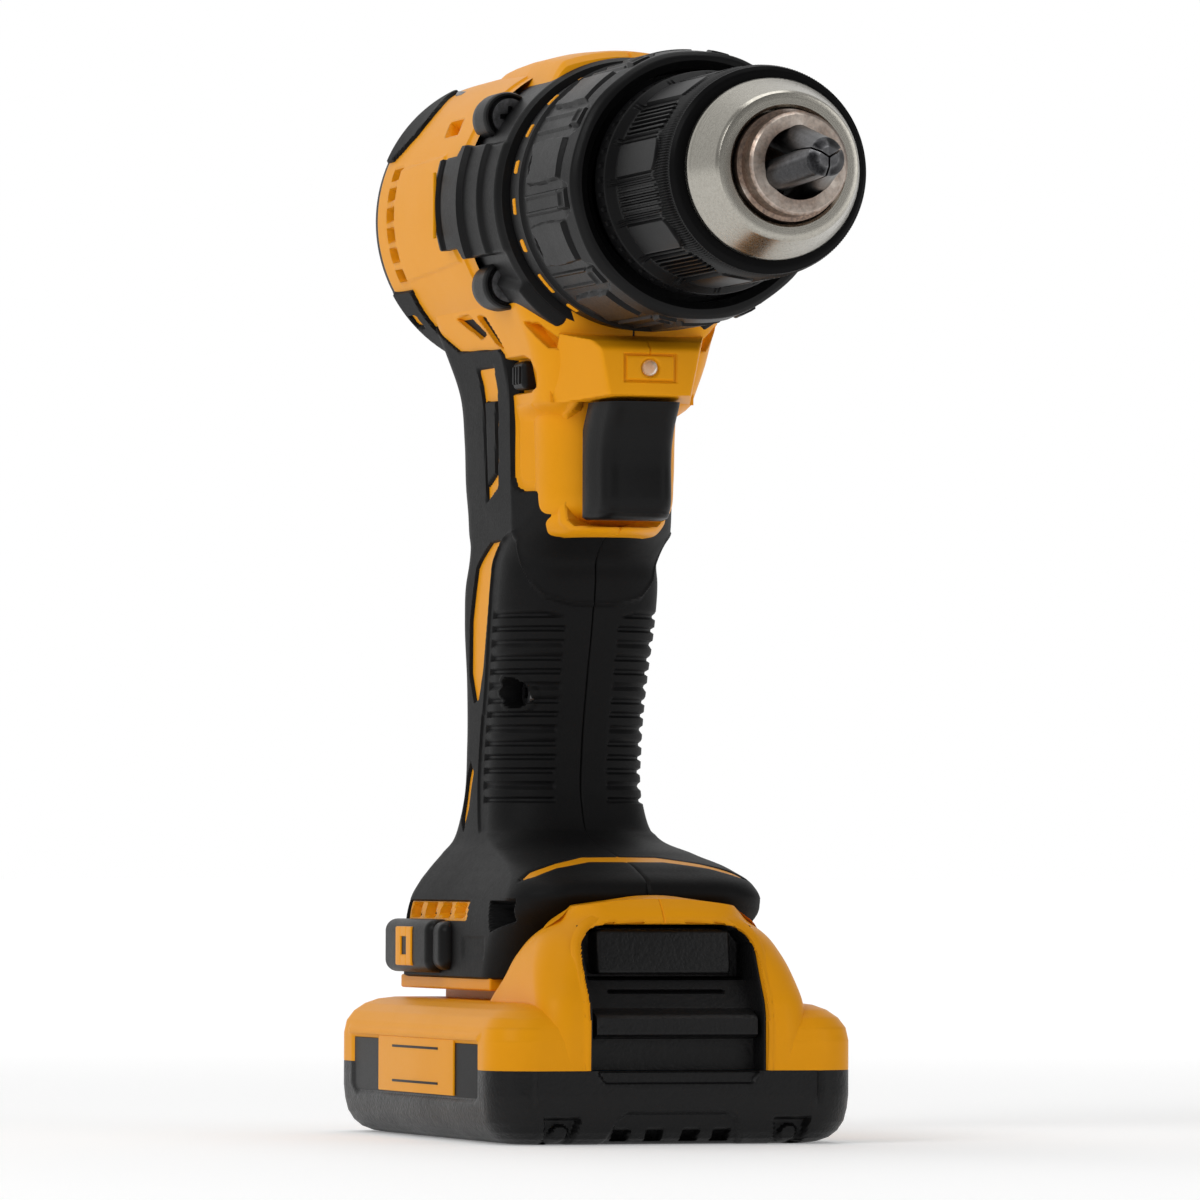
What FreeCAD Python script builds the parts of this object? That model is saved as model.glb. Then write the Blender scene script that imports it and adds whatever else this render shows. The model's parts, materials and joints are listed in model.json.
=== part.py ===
import FreeCAD, Part
import math
import os
from FreeCAD import Vector

# A cordless drill driver on its battery pack, in millimetres.
# +X is forward along the chuck, +Y is the drill's left, +Z is up. The origin is the
# middle of the battery's footprint, and z = 0 is the face that the drill stands on.

# Heights and lengths of the whole tool
axis_z = 194.0            # height of the motor, gear and chuck axis
barrel_rear_x = -54.0     # rear face of the clamshell barrel
barrel_front_x = 6.0      # front face of the clamshell barrel
barrel_r = 31.0           # outside radius of the barrel
barrel_wall = 2.6
handle_wall = 2.4
rubber_t = 1.6            # thickness of the rubber over the grip
hump_top_z = 226.4
hump_half_w = 14.0
hump_rear_x = -34.0
hump_front_x = 23.0

# Clearances
run_gap = 0.05            # shaft in a bearing or bush, radial
slide_gap = 0.3           # moving piece beside a fixed one
seat_gap = 0.15           # piece dropped into a pocket

# Rear cap
cap_t = 4.0
cap_round = 2.6
cap_spigot = 3.0
bearing_boss_r = 8.0

# Gearcase, screwed to the front of the barrel
gearcase_rear_x = barrel_front_x + 0.3
flange_t = 7.0
flange_r = 29.4
gearcase_body_r = 26.0
gearcase_front_x = 26.4
gearcase_wall = 3.0
lug_r = 5.2
lug_y = 23.0
lug_dz = 17.3
side_block_x = (-6.0, 14.0)
side_block_y = (24.0, 32.4)
side_block_half_z = 9.6
nose_tube_r = 19.5        # tube that the torque collar turns on
nose_tube_front_x = 64.0

# Torque collar
collar_rear_x = 27.0
collar_front_x = 69.0
collar_rear_r = 27.3
collar_mid_r = 27.9
collar_front_r = 26.2
collar_wall = 3.4
collar_web_x = (46.0, 50.0)
collar_steps = 8          # settings each side of the middle one
collar_pads = 10

# Motor
can_r = 21.0
can_wall = 1.6
can_rear_x = -38.0
can_front_x = 0.0
magnet_t = 3.4
air_gap = 0.8             # between the armature and the magnets
armature_r = can_r - can_wall - magnet_t - air_gap
armature_x = (-30.0, -9.0)
shaft_r = 2.5
shaft_rear_x = -53.0
shaft_front_x = 19.0
motor_bearing_r = 6.5
motor_bearing_t = 5.0
fan_r = 19.8
fan_x = (-47.5, -41.0)
fan_blades = 11
commutator_r = 6.5
commutator_x = (-36.5, -31.5)

# Two planetary stages, four to one each
module = 0.8
sun_teeth = 12
planet_teeth = 12
ring_teeth = sun_teeth + 2 * planet_teeth
planet_count = 3
gear_t = 7.0
backlash = 0.16           # taken off each side of every tooth
stage_x = (9.0, 24.0)     # rear face of each stage's planets
carrier_t = 3.0
planet_pin_r = 1.5
ring_wall = 2.6

# Spindle, clutch and bearing
spindle_r = 6.0
spindle_front_x = 90.0
spindle_bearing_r = 13.0
spindle_bearing_x = (54.0, 62.0)
spring_r = 21.3
spring_wire_r = 1.1
spring_x = (30.0, 44.0)
spring_turns = 4
clutch_ball_r = 1.8

# Chuck
chuck_rear_x = 72.0
chuck_face_x = 129.2
nose_r = 10.2
nose_hole_r = 7.2
sleeve_rear_x = 71.0
sleeve_front_x = 110.0
sleeve_r = 20.9
sleeve_wall = 1.6
ring_edge_x = 114.2
ring_edge_r = 17.97
ring_face_x = 122.8
ring_face_r = 14.45
ring_hole_r = 11.4
nut_x = (107.0, 111.0)
jaw_tip_x = 147.0
jaw_angle = 13.0
jaw_r = 3.3
jaw_len = 42.0
jaw_capacity = 13.0
jaw_split = 0.2           # half the gap between two closed jaws
chuck_screw_r = 3.0

# Foot and grip: height, front x, rear x, half width and corner radius of each section
grip_sections = (
    (33.4, 30.0, -48.5, 28.5, 10.0),
    (44.0, 33.0, -48.5, 28.5, 10.0),
    (50.5, 37.8, -48.3, 27.6, 12.0),
    (54.5, 34.6, -48.0, 25.0, 12.0),
    (59.0, 16.0, -47.8, 21.5, 12.5),
    (63.0, -4.5, -47.3, 18.4, 13.0),
    (70.0, -6.8, -45.6, 17.2, 12.5),
    (82.0, -6.4, -44.2, 16.9, 12.5),
    (95.0, -3.0, -44.2, 17.0, 12.5),
    (108.0, 0.6, -44.2, 17.6, 13.0),
    (123.0, 2.4, -42.0, 17.4, 13.0),
    (130.0, 2.4, -42.2, 17.2, 13.0),
)
head_sections = (
    (123.6, 15.5, -41.8, 13.0, 9.0),
    (127.5, 20.5, -42.2, 16.0, 10.0),
    (136.0, 24.0, -43.0, 17.0, 10.0),
    (152.0, 25.0, -44.0, 17.2, 10.0),
    (162.0, 25.0, -46.5, 18.4, 10.0),
    (172.0, 25.0, -49.0, 21.0, 10.0),
)
panel_rear_x = -1.0       # yellow side panel starts here, rubber lies behind it
rubber_top_z = 157.0
grip_top_z = 122.6

# LED nose
nose_x = 37.6
nose_half_w = 12.8
nose_z = (152.8, 164.6)
nose_chamfer = 3.6
led_z = 158.6
led_r = 2.4

# Trigger and direction button
trigger_z = (127.4, 152.2)
trigger_half_w = 7.4
trigger_root_x = 10.0
trigger_travel = 6.5
trigger_top_x = 37.2
trigger_mid_x = 28.8
trigger_low_x = 31.2
switch_x = (-27.0, 8.0)
switch_half_w = 10.5
button_x = (2.0, 15.0)
button_z = (154.6, 161.4)
button_half_len = 21.5
button_travel = 3.0

# Speed selector on top
selector_x = (-25.0, -13.0)
selector_half_w = 6.0
selector_travel = 5.0
selector_floor_z = 223.0

# Foot
foot_floor_z = 33.4
foot_floor_t = 2.6
rail_z = (30.6, 33.4)
rail_y = (20.8, 26.4)
rail_x = (-40.0, 12.0)
foot_slant = (17.0, 28.0)  # front x of the foot's side at z = 30 and z = 45
boss_x = (-45.0, -13.0)
boss_y = (26.0, 32.0)
boss_z = (34.2, 45.2)
insert_x = -29.0
insert_z = 39.6
insert_r = 3.2
insert_len = 5.8
hook_hole_r = 1.65

# Battery pack
pack_front_x = 57.5
pack_rear_x = -57.5
pack_half_w = 39.0
pack_corner_r = 9.0
pack_bottom_inset = 3.0
parting_z = 15.0
shoulder_z = 28.6
shoulder_round = 6.0
pack_wall = 2.4
arch_sections = (
    (15.2, 57.5, 16.0, 28.0, 6.0),
    (26.0, 57.3, 16.5, 27.8, 6.0),
    (36.0, 52.0, 21.0, 25.8, 6.0),
    (43.5, 48.5, 27.0, 23.4, 6.0),
    (48.4, 43.5, 30.0, 18.6, 6.0),
)
arch_half_w = 18.9
arch_top_z = 44.5
tower_x = (-38.0, 16.0)
tower_neck_half_w = 20.3
tower_head_half_w = 23.6
tower_neck_z = 34.0
tower_top_z = 40.5
cell_r = 9.1
cell_len = 65.0
cell_count = 5
cell_pitch = 18.5
cell_z = 12.2
latch_z = (34.4, 43.4)
latch_half_w = 15.0
latch_front_x = 47.5
latch_travel = 3.0
pack_screw_r = 1.6
pack_screw_x = 50.4
pack_post_r = 3.0
recess_wall_x = 50.0       # back wall of the front recess below the latch
pack_screw_y = 25.0

# Clamshell screws: x, z of each
screw_spots = ((-9.5, 92.6), (-34.0, 136.0), (-35.0, 74.0), (-44.5, 169.5), (-44.5, 218.5), (12.0, 52.0))
screw_r = 1.5
screw_head_r = 3.0
screw_boss_r = 4.2
gearcase_screw_r = 2.0


def box(x0, x1, y0, y1, z0, z1):
    return Part.makeBox(x1 - x0, y1 - y0, z1 - z0, Vector(x0, y0, z0))


def rod(r, x0, x1, y=0.0, z=axis_z):
    """Cylinder along X."""
    return Part.makeCylinder(r, x1 - x0, Vector(x0, y, z), Vector(1, 0, 0))


def rod_y(r, y0, y1, x, z):
    return Part.makeCylinder(r, y1 - y0, Vector(x, y0, z), Vector(0, 1, 0))


def rod_z(r, z0, z1, x, y):
    return Part.makeCylinder(r, z1 - z0, Vector(x, y, z0), Vector(0, 0, 1))


def tube(r_out, r_in, x0, x1, y=0.0, z=axis_z):
    return rod(r_out, x0, x1, y, z).cut(rod(r_in, x0 - 1, x1 + 1, y, z))


def turned(profile):
    """Solid turned round the chuck axis from (x, r) corners."""
    points = [Vector(x, 0, axis_z + r) for x, r in profile]
    face = Part.Face(Part.makePolygon(points + points[:1]))
    return face.revolve(Vector(0, 0, axis_z), Vector(1, 0, 0), 360)


def round_section(z, front, rear, half_w, corner, inset):
    """Rounded rectangle at height z, shrunk by inset on every side."""
    x1 = front - inset
    x0 = rear + inset
    w = half_w - inset
    r = max(corner - inset, 1.0)
    corners = ((x1 - r, w - r, 0), (x0 + r, w - r, 90), (x0 + r, r - w, 180), (x1 - r, r - w, 270))
    edges = []
    ends = []
    for cx, cy, start in corners:
        spots = [math.radians(start + turn) for turn in (0, 45, 90)]
        a, b, c = [Vector(cx + r * math.cos(s), cy + r * math.sin(s), z) for s in spots]
        edges.append(Part.Arc(a, b, c).toShape())
        ends.append((a, c))
    loop = []
    for i in range(4):
        loop.append(edges[i])
        loop.append(Part.LineSegment(ends[i][1], ends[(i + 1) % 4][0]).toShape())
    return Part.Wire(loop)


def lofted(sections, inset=0.0):
    wires = [round_section(*s, inset) for s in sections]
    return Part.makeLoft(wires, True, True)


def side_profile(points, half_w):
    """Plate cut from (x, z) corners, reaching half_w each side of the middle plane."""
    ring = [Vector(x, -half_w, z) for x, z in points]
    return Part.Face(Part.makePolygon(ring + ring[:1])).extrude(Vector(0, 2 * half_w, 0))


def about_axis(shape, degrees):
    turned_copy = shape.copy()
    turned_copy.rotate(Vector(0, 0, axis_z), Vector(1, 0, 0), degrees)
    return turned_copy


def mirrored(shape):
    return shape.mirror(Vector(0, 0, 0), Vector(0, 1, 0))


def fused(shapes):
    return shapes[0].multiFuse(list(shapes[1:])).removeSplitter()


def save(name, shape):
    solids = shape.Solids
    out = solids[0] if len(solids) == 1 else Part.makeCompound(solids)
    out.exportStep("parts/" + name + ".step")
    sound = all(s.isValid() for s in solids)
    print(name, len(solids), "solids", round(out.Volume), "mm3", "valid" if sound else "NOT VALID")


def gear_outline(teeth, x, inside=False):
    """Straight-flanked tooth outline: trapezoid teeth on the pitch circle, slimmed by the backlash."""
    pitch_r = module * teeth / 2
    add = module * (0.85 if not inside else -0.85)
    ded = module * (-1.15 if not inside else 1.15)
    step = 2 * math.pi / teeth
    slim = backlash / pitch_r
    points = []
    for k in range(teeth):
        mid = k * step
        for frac, r in ((-0.36, ded), (-0.13, add), (0.13, add), (0.36, ded)):
            turn = mid + frac * step + math.copysign(slim, -frac)
            points.append(Vector(x, (pitch_r + r) * math.sin(turn), (pitch_r + r) * math.cos(turn)))
    return Part.Face(Part.makePolygon(points + points[:1]))


def gear(teeth, x0, length, turn=0.0):
    """Toothed wheel centred on the chuck axis, turned by an angle in degrees."""
    wheel = gear_outline(teeth, x0).extrude(Vector(length, 0, 0))
    wheel.rotate(Vector(0, 0, 0), Vector(1, 0, 0), turn)
    wheel.translate(Vector(0, 0, axis_z))
    return wheel


def outer_body(inset):
    """Outside of the foot, grip and head as one solid, shrunk by inset."""
    grip = lofted(grip_sections, inset)
    head = lofted(head_sections, inset)
    return fused([grip, head])


def foot_front_cut():
    """Everything in front of the slanted line where the foot meets the battery's arch."""
    low, high = foot_slant
    return side_profile(((low - 8, 20), (low, 30), (high, 45), (high, 49.3), (80, 49.3), (80, 20)), 50)


def head_shell_outer():
    """Barrel, hump and LED nose outside."""
    barrel = rod(barrel_r, barrel_rear_x, barrel_front_x)
    hump = side_profile(
        (
            (hump_rear_x - 8, axis_z + 24), (hump_rear_x - 8, axis_z + 29.5), (hump_rear_x, hump_top_z - 1.2),
            (selector_x[0] - 6, hump_top_z - 1.2), (selector_x[1] + 6, hump_top_z - 1.2), (-4, hump_top_z),
            (hump_front_x - 5, hump_top_z), (hump_front_x, hump_top_z - 2.5), (hump_front_x, axis_z + 24),
        ),
        hump_half_w,
    )
    trimmed = [e for e in hump.Edges
               if abs(abs(e.CenterOfMass.y) - hump_half_w) < 0.01 and e.CenterOfMass.z > hump_top_z - 2]
    hump = hump.makeFillet(3.0, [e for e in trimmed if e.CenterOfMass.x > hump_rear_x])
    block = side_profile(
        (
            (8, nose_z[0]), (nose_x - 1.0, nose_z[0]), (nose_x, nose_z[0] + 1.0), (nose_x, nose_z[1] - 4.0),
            (nose_x - 4.5, nose_z[1]), (8, nose_z[1]),
        ),
        nose_half_w,
    )
    upright = [e for e in block.Edges
               if abs(e.CenterOfMass.x - nose_x) < 0.01 and abs(e.CenterOfMass.y) > nose_half_w - 0.1]
    block = block.makeChamfer(nose_chamfer, upright)
    return [barrel, hump, block]


def rubber_zone():
    """Where the rubber covers the shell."""
    grip = box(-70, 60, -60, 60, 49.4, grip_top_z)
    skirt = box(-70, foot_slant[1], -60, 60, foot_floor_z + 0.01, 50)
    strip = box(-70, panel_rear_x, -60, 60, grip_top_z - 1, rubber_top_z)
    return fused([grip, skirt, strip])


def gearcase_room():
    """Space that the gearcase takes from the clamshells, with its seat clearance."""
    front = rod(gearcase_body_r + seat_gap + 0.3, barrel_front_x - 0.5, collar_rear_x + 4)
    flange = rod(flange_r + seat_gap, barrel_front_x, gearcase_rear_x + flange_t + seat_gap)
    parts = [front, flange]
    for sy in (-1, 1):
        for sz in (-1, 1):
            spot = (sy * lug_y, axis_z + sz * lug_dz)
            lug = rod(lug_r + seat_gap, barrel_front_x, gearcase_rear_x + flange_t + seat_gap, *spot)
            parts.append(lug)
    for sy in (-1, 1):
        ys = sorted((sy * (side_block_y[0] - seat_gap), sy * (side_block_y[1] + 6)))
        half = side_block_half_z + seat_gap
        parts.append(box(side_block_x[0] - seat_gap, side_block_x[1] + 2, *ys, axis_z - half, axis_z + half))
    return fused(parts)


def cavity():
    """Hollow inside both clamshells."""
    grip = lofted(grip_sections, rubber_t + handle_wall)
    head = lofted(head_sections[1:], handle_wall + 0.4)
    room = rod(barrel_r - barrel_wall, barrel_rear_x - 1, barrel_front_x + 1)
    led_room = box(14, nose_x - 3.0, -nose_half_w + 4.5, nose_half_w - 4.5, nose_z[0] + 2.2, nose_z[1] - 2.2)
    low = box(-60, 60, -60, 60, 20, foot_floor_z + foot_floor_t)
    body = fused([grip, head.cut(box(-60, 60, -60, 60, 168, 180))])
    body = body.cut(low)
    link = box(-36, 18, -12, 12, 150, 172)
    return fused([body, room, led_room, link])


def shell_pair():
    """Both yellow clamshells as (right, left) and both rubber skins."""
    full = outer_body(0.0)
    inner = outer_body(rubber_t)
    zone = rubber_zone()
    rubber = full.common(zone).cut(inner).cut(rod(barrel_r + 0.01, -80, 60)).cut(foot_front_cut())
    body = fused([inner, full.cut(zone)])
    body = fused([body] + head_shell_outer())
    body = body.cut(foot_front_cut())
    body = body.cut(cavity())
    body = body.cut(gearcase_room())
    body = body.cut(rod(collar_mid_r + 0.6, gearcase_front_x + 0.4, 80))
    rails = [box(*rail_x, *sorted((s * rail_y[0], s * rail_y[1])), rail_z[0], rail_z[1] + 0.5)
             for s in (-1, 1)]
    hole_half_w = tower_head_half_w + 0.5
    floor_hole = box(-46.5, 40, -hole_half_w, hole_half_w, 25, foot_floor_z + foot_floor_t + 1)
    body = fused([body] + rails).cut(floor_hole.cut(fused(rails)))
    # Trigger pocket, direction button slot, selector pocket, LED hole, vents
    pocket_z = (trigger_z[0] - slide_gap, trigger_z[1] + slide_gap)
    pocket = box(trigger_root_x - 9, 60, -trigger_half_w - slide_gap, trigger_half_w + slide_gap, *pocket_z)
    slot = box(
        button_x[0] - slide_gap, button_x[1] + slide_gap, -40, 40,
        button_z[0] - slide_gap, button_z[1] + slide_gap
    )
    well = box(
        selector_x[0] - 0.5, selector_x[1] + selector_travel + 0.5,
        -selector_half_w - slide_gap, selector_half_w + slide_gap,
        selector_floor_z, hump_top_z + 5,
    )
    lens_hole = rod(led_r + seat_gap, 20, nose_x + 5, 0, led_z)
    vents = []
    for side in (-1, 1):
        for k in range(6):
            z = axis_z - 14 + 5.4 * k
            vents.append(box(-46.5, -42.5, *sorted((side * 20, side * 40)), z - 1.6, z + 1.6))
        lower = box(-8, -1, *sorted((side * 20, side * 40)), 206.5, 210.5)
        vents.append(lower)
    body = body.cut(fused([pocket, slot, well, lens_hole])).cut(Part.makeCompound(vents))
    # Screw bosses across both halves
    bosses = []
    holes = []
    for x, z in screw_spots:
        bosses.append(rod_y(screw_boss_r, -30, 30, x, z).common(fused([inner] + head_shell_outer())))
    body = fused([body] + bosses)
    for x, z in screw_spots:
        holes.append(rod_y(screw_r + run_gap, -60, 12, x, z))
        holes.append(rod_y(screw_head_r + 0.3, -60, screw_seat_y(z), x, z))
    holes = fused(holes)
    body = body.cut(holes)
    rubber = rubber.cut(holes).cut(slot)
    seats = boss_block(seat_gap)
    body = body.cut(fused(seats))
    rubber = rubber.cut(fused(seats))
    right = box(-100, 100, -100, 0, -10, 300)
    left = box(-100, 100, 0, 100, -10, 300)
    return body.common(right), body.common(left), rubber.common(right), rubber.common(left)


def screw_seat_y(z):
    """The y of the face that a clamshell screw's head seats on."""
    if z > 160:
        return -14.0
    return -9.5


def boss_block(gap):
    """Blocks on both sides of the foot that a belt hook or bit clip screws to."""
    blocks = []
    for side in (-1, 1):
        ys = sorted((side * (boss_y[0] - gap), side * (boss_y[1] + gap)))
        block = box(boss_x[0] - gap, boss_x[1] + gap, *ys, boss_z[0] - gap, boss_z[1] + gap)
        blocks.append(block)
    return blocks


def make_rear_cap():
    r = barrel_r
    x = barrel_rear_x
    profile = (
        (x, r), (x - cap_t + cap_round, r), (x - cap_t, r - cap_round), (x - cap_t, 0), (x - 1.2, 0),
        (x - 1.2, motor_bearing_r + 0.0), (x + 4.6, motor_bearing_r + 0.0), (x + 4.6, bearing_boss_r),
        (x - 0.6, bearing_boss_r), (x - 0.6, r - barrel_wall - 2.2), (x + cap_spigot, r - barrel_wall - 2.2),
        (x + cap_spigot, r - barrel_wall - seat_gap), (x, r - barrel_wall - seat_gap),
    )
    cap = turned(profile)
    slots = [box(x - 10, x - 0.1, -22, 22, axis_z + k * 6 - 1.2, axis_z + k * 6 + 1.2)
             for k in (-2, 2, 3, -3)]
    return cap.cut(Part.makeCompound(slots))


def make_gearcase():
    r = gearcase_body_r
    x0 = gearcase_rear_x
    bore = module * ring_teeth / 2 + ring_wall + seat_gap
    tube = rod(nose_tube_r, x0, nose_tube_front_x)
    parts = [rod(r, x0, gearcase_front_x), rod(flange_r, x0, x0 + flange_t), tube]
    for sy in (-1, 1):
        for sz in (-1, 1):
            parts.append(rod(lug_r, x0, x0 + flange_t, sy * lug_y, axis_z + sz * lug_dz))
    for side in (-1, 1):
        ys = sorted((side * side_block_y[0], side * side_block_y[1]))
        parts.append(box(*side_block_x, *ys, axis_z - side_block_half_z, axis_z + side_block_half_z))
    case = fused(parts)
    case = case.cut(rod(bore, x0 - 1, stage_x[1] + gear_t + 6.6))
    case = case.cut(rod(spindle_bearing_r, spindle_bearing_x[0], nose_tube_front_x + 1))
    case = case.cut(rod(spindle_r + 1.5, 20, nose_tube_front_x + 1))
    case = case.cut(rod(spindle_bearing_r + 1.0, stage_x[1], spindle_bearing_x[0] - gearcase_wall))
    for sy in (-1, 1):
        for sz in (-1, 1):
            case = case.cut(rod(gearcase_screw_r + run_gap, x0 - 1, 60, sy * lug_y, axis_z + sz * lug_dz))
            case = case.cut(rod(4.2, x0 + flange_t - 1.6, 26.0, sy * lug_y, axis_z + sz * lug_dz))
    return case


def make_gearcase_screws():
    screws = []
    for sy in (-1, 1):
        for sz in (-1, 1):
            y = sy * lug_y
            z = axis_z + sz * lug_dz
            seat = gearcase_rear_x + flange_t - 1.6
            head = rod(3.8, seat, seat + 2.6, y, z)
            cross = fused([box(seat + 1.2, seat + 4, y - 2.2, y + 2.2, z - 0.5, z + 0.5),
                           box(seat + 1.2, seat + 4, y - 0.5, y + 0.5, z - 2.2, z + 2.2)])
            shank = rod(gearcase_screw_r, gearcase_rear_x + 0.1, seat, y, z)
            screws.append(fused([head, shank]).cut(cross))
    return Part.makeCompound(screws)


def make_collar():
    x0 = collar_rear_x
    x1 = collar_front_x
    inner = nose_tube_r + slide_gap
    profile = (
        (x0, collar_rear_r - 1.0), (x0 + 1.0, collar_rear_r), (x0 + 7, collar_rear_r), (x0 + 12, collar_mid_r),
        (x1 - 8, collar_mid_r), (x1, collar_front_r), (x1, collar_front_r - collar_wall),
        (collar_web_x[1], collar_front_r - collar_wall), (collar_web_x[1], inner), (collar_web_x[0], inner),
        (collar_web_x[0], collar_rear_r - collar_wall), (x0, collar_rear_r - collar_wall),
    )
    collar = turned(profile)
    cuts = []
    for k in range(collar_pads):
        notch = box(x0 + 12.5, x1 + 1, -2.2, 2.2, axis_z + collar_mid_r - 0.9, axis_z + 40)
        cuts.append(about_axis(notch, k * 360 / collar_pads))
    return collar.cut(Part.makeCompound(cuts))


def make_motor_can():
    can = tube(can_r, can_r - can_wall, can_rear_x, can_front_x)
    front = tube(can_r - 0.1, motor_bearing_r, can_front_x - 2.4, can_front_x)
    hub = tube(motor_bearing_r + 2.0, motor_bearing_r, can_front_x - 6.0, can_front_x - 2.0)
    return fused([can, front, hub])


def make_magnets():
    ring = tube(can_r - can_wall, can_r - can_wall - magnet_t, armature_x[0] - 1, armature_x[1] + 1)
    gap = box(-60, 20, -30, 30, axis_z - 5, axis_z + 5)
    return ring.cut(gap)


def make_armature():
    core = rod(armature_r, *armature_x)
    slots = []
    for k in range(8):
        slot = fused([box(armature_x[0] - 1, armature_x[1] + 1, -0.9, 0.9, axis_z + 11, axis_z + 20),
                      box(armature_x[0] - 1, armature_x[1] + 1, -2.6, 2.6, axis_z + 7.5, axis_z + 12.5)])
        slots.append(about_axis(slot, k * 45))
    return core.cut(Part.makeCompound(slots)).cut(rod(shaft_r, -60, 20))


def make_windings():
    coils = []
    for x0, x1 in ((armature_x[0] - 1.4, armature_x[0]), (armature_x[1], armature_x[1] + 1.4)):
        coils.append(tube(armature_r - 2.2, shaft_r + 1.0, x0, x1))
    return Part.makeCompound(coils)


def make_commutator():
    ring = tube(commutator_r, shaft_r, *commutator_x)
    slots = [about_axis(box(-40, -30, -0.25, 0.25, axis_z + commutator_r - 0.8, axis_z + 9), k * 45)
             for k in range(8)]
    return ring.cut(Part.makeCompound(slots))


def make_brush_card():
    card = tube(can_r - can_wall, commutator_r + 4.6, commutator_x[0], commutator_x[0] + 1.6)
    brushes = []
    for side in (-1, 1):
        ys = sorted((side * (commutator_r + 0.2), side * (commutator_r + 8)))
        brushes.append(box(commutator_x[0] + 1.0, commutator_x[1] - 0.6, *ys, axis_z - 2.2, axis_z + 2.2))
    return fused([card] + brushes)


def make_fan():
    disc = tube(fan_r, shaft_r, fan_x[1] - 1.4, fan_x[1])
    hub = tube(shaft_r + 3, shaft_r, *fan_x)
    blades = []
    for k in range(fan_blades):
        blade = box(fan_x[0], fan_x[1] - 1.0, -0.5, 0.5, axis_z + shaft_r + 2.5, axis_z + fan_r - 0.8)
        blades.append(about_axis(blade, k * 360 / fan_blades))
    return fused([disc, hub] + blades)


def make_bearing(r_out, r_in, x0, x1):
    outer = tube(r_out, r_out - (r_out - r_in) * 0.3, x0, x1)
    inner = tube(r_in + (r_out - r_in) * 0.3, r_in, x0, x1)
    shields = tube(r_out - 0.1, r_in + 0.1, x0 + 0.4, x1 - 0.4)
    return fused([outer, inner, shields])


def ring_gear(x0):
    hole = gear_outline(ring_teeth, x0 - 1, True).extrude(Vector(gear_t + 3, 0, 0))
    hole.translate(Vector(0, 0, axis_z))
    return rod(module * ring_teeth / 2 + ring_wall, x0 - 0.5, x0 + gear_t + 0.5).cut(hole)


def planet(stage, k):
    """Planet k of a stage, turned so that its teeth sit in the gaps of the sun's."""
    x0 = stage_x[stage]
    centre = module * (sun_teeth + planet_teeth) / 2
    wheel = gear(planet_teeth, x0, gear_t, 180 / planet_teeth)
    wheel = wheel.cut(rod(planet_pin_r + run_gap, x0 - 1, x0 + gear_t + 1))
    wheel.translate(Vector(0, 0, centre))
    return about_axis(wheel, k * 360 / planet_count)


def carrier(stage):
    x0 = stage_x[stage] + gear_t + 0.3
    centre = module * (sun_teeth + planet_teeth) / 2
    parts = [rod(centre + 3.2, x0, x0 + carrier_t)]
    for k in range(planet_count):
        pin = rod(planet_pin_r, stage_x[stage] - 0.2, x0 + 0.5, 0, axis_z + centre)
        parts.append(about_axis(pin, k * 360 / planet_count))
    return parts


def make_spindle():
    x0 = stage_x[1] + gear_t + 0.3 + carrier_t
    shaft = rod(spindle_r, x0, spindle_front_x)
    collar_ring = rod(spindle_r + 1.2, x0 + 1, spindle_bearing_x[0] - 0.2)
    tip = rod(chuck_screw_r, spindle_front_x - 20, spindle_front_x + 1)
    return fused([shaft, collar_ring]).cut(tip)


def make_clutch_spring():
    spring = []
    step = (spring_x[1] - spring_x[0]) / spring_turns
    for k in range(spring_turns):
        centre = Vector(spring_x[0] + step * (k + 0.5), 0, axis_z)
        ring = Part.makeTorus(spring_r, spring_wire_r, centre, Vector(1, 0, 0))
        spring.append(ring)
    links = []
    for k in range(spring_turns - 1):
        x = spring_x[0] + step * (k + 0.5)
        links.append(rod(spring_wire_r * 0.9, x, x + step, 0, axis_z + spring_r))
    return fused(spring + links)


def jaw_line(shape, k, back=0.0):
    """Lays a shape drawn along the jaw's own axis into jaw k's place."""
    placed = shape.copy()
    placed.translate(Vector(-back, 0, 0))
    placed.rotate(Vector(0, 0, 0), Vector(0, 1, 0), jaw_angle)
    placed.translate(Vector(jaw_tip_x, 0, axis_z))
    return about_axis(placed, k * 120)


def jaw_travel():
    return jaw_capacity / 2 / math.sin(math.radians(jaw_angle))


def wedge(k, gap, length=200):
    """The third of the space round the axis that jaw k may fill."""
    reach = 60
    half = math.radians(60)
    tip = gap / math.sin(half)
    points = [
        Vector(0, 0, axis_z + tip),
        Vector(0, reach * math.sin(half), axis_z + tip + reach * math.cos(half)),
        Vector(0, 0, axis_z + 2 * reach),
        Vector(0, -reach * math.sin(half), axis_z + tip + reach * math.cos(half)),
    ]
    solid = Part.Face(Part.makePolygon(points + points[:1])).extrude(Vector(length, 0, 0))
    return about_axis(solid, k * 120)


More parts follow.
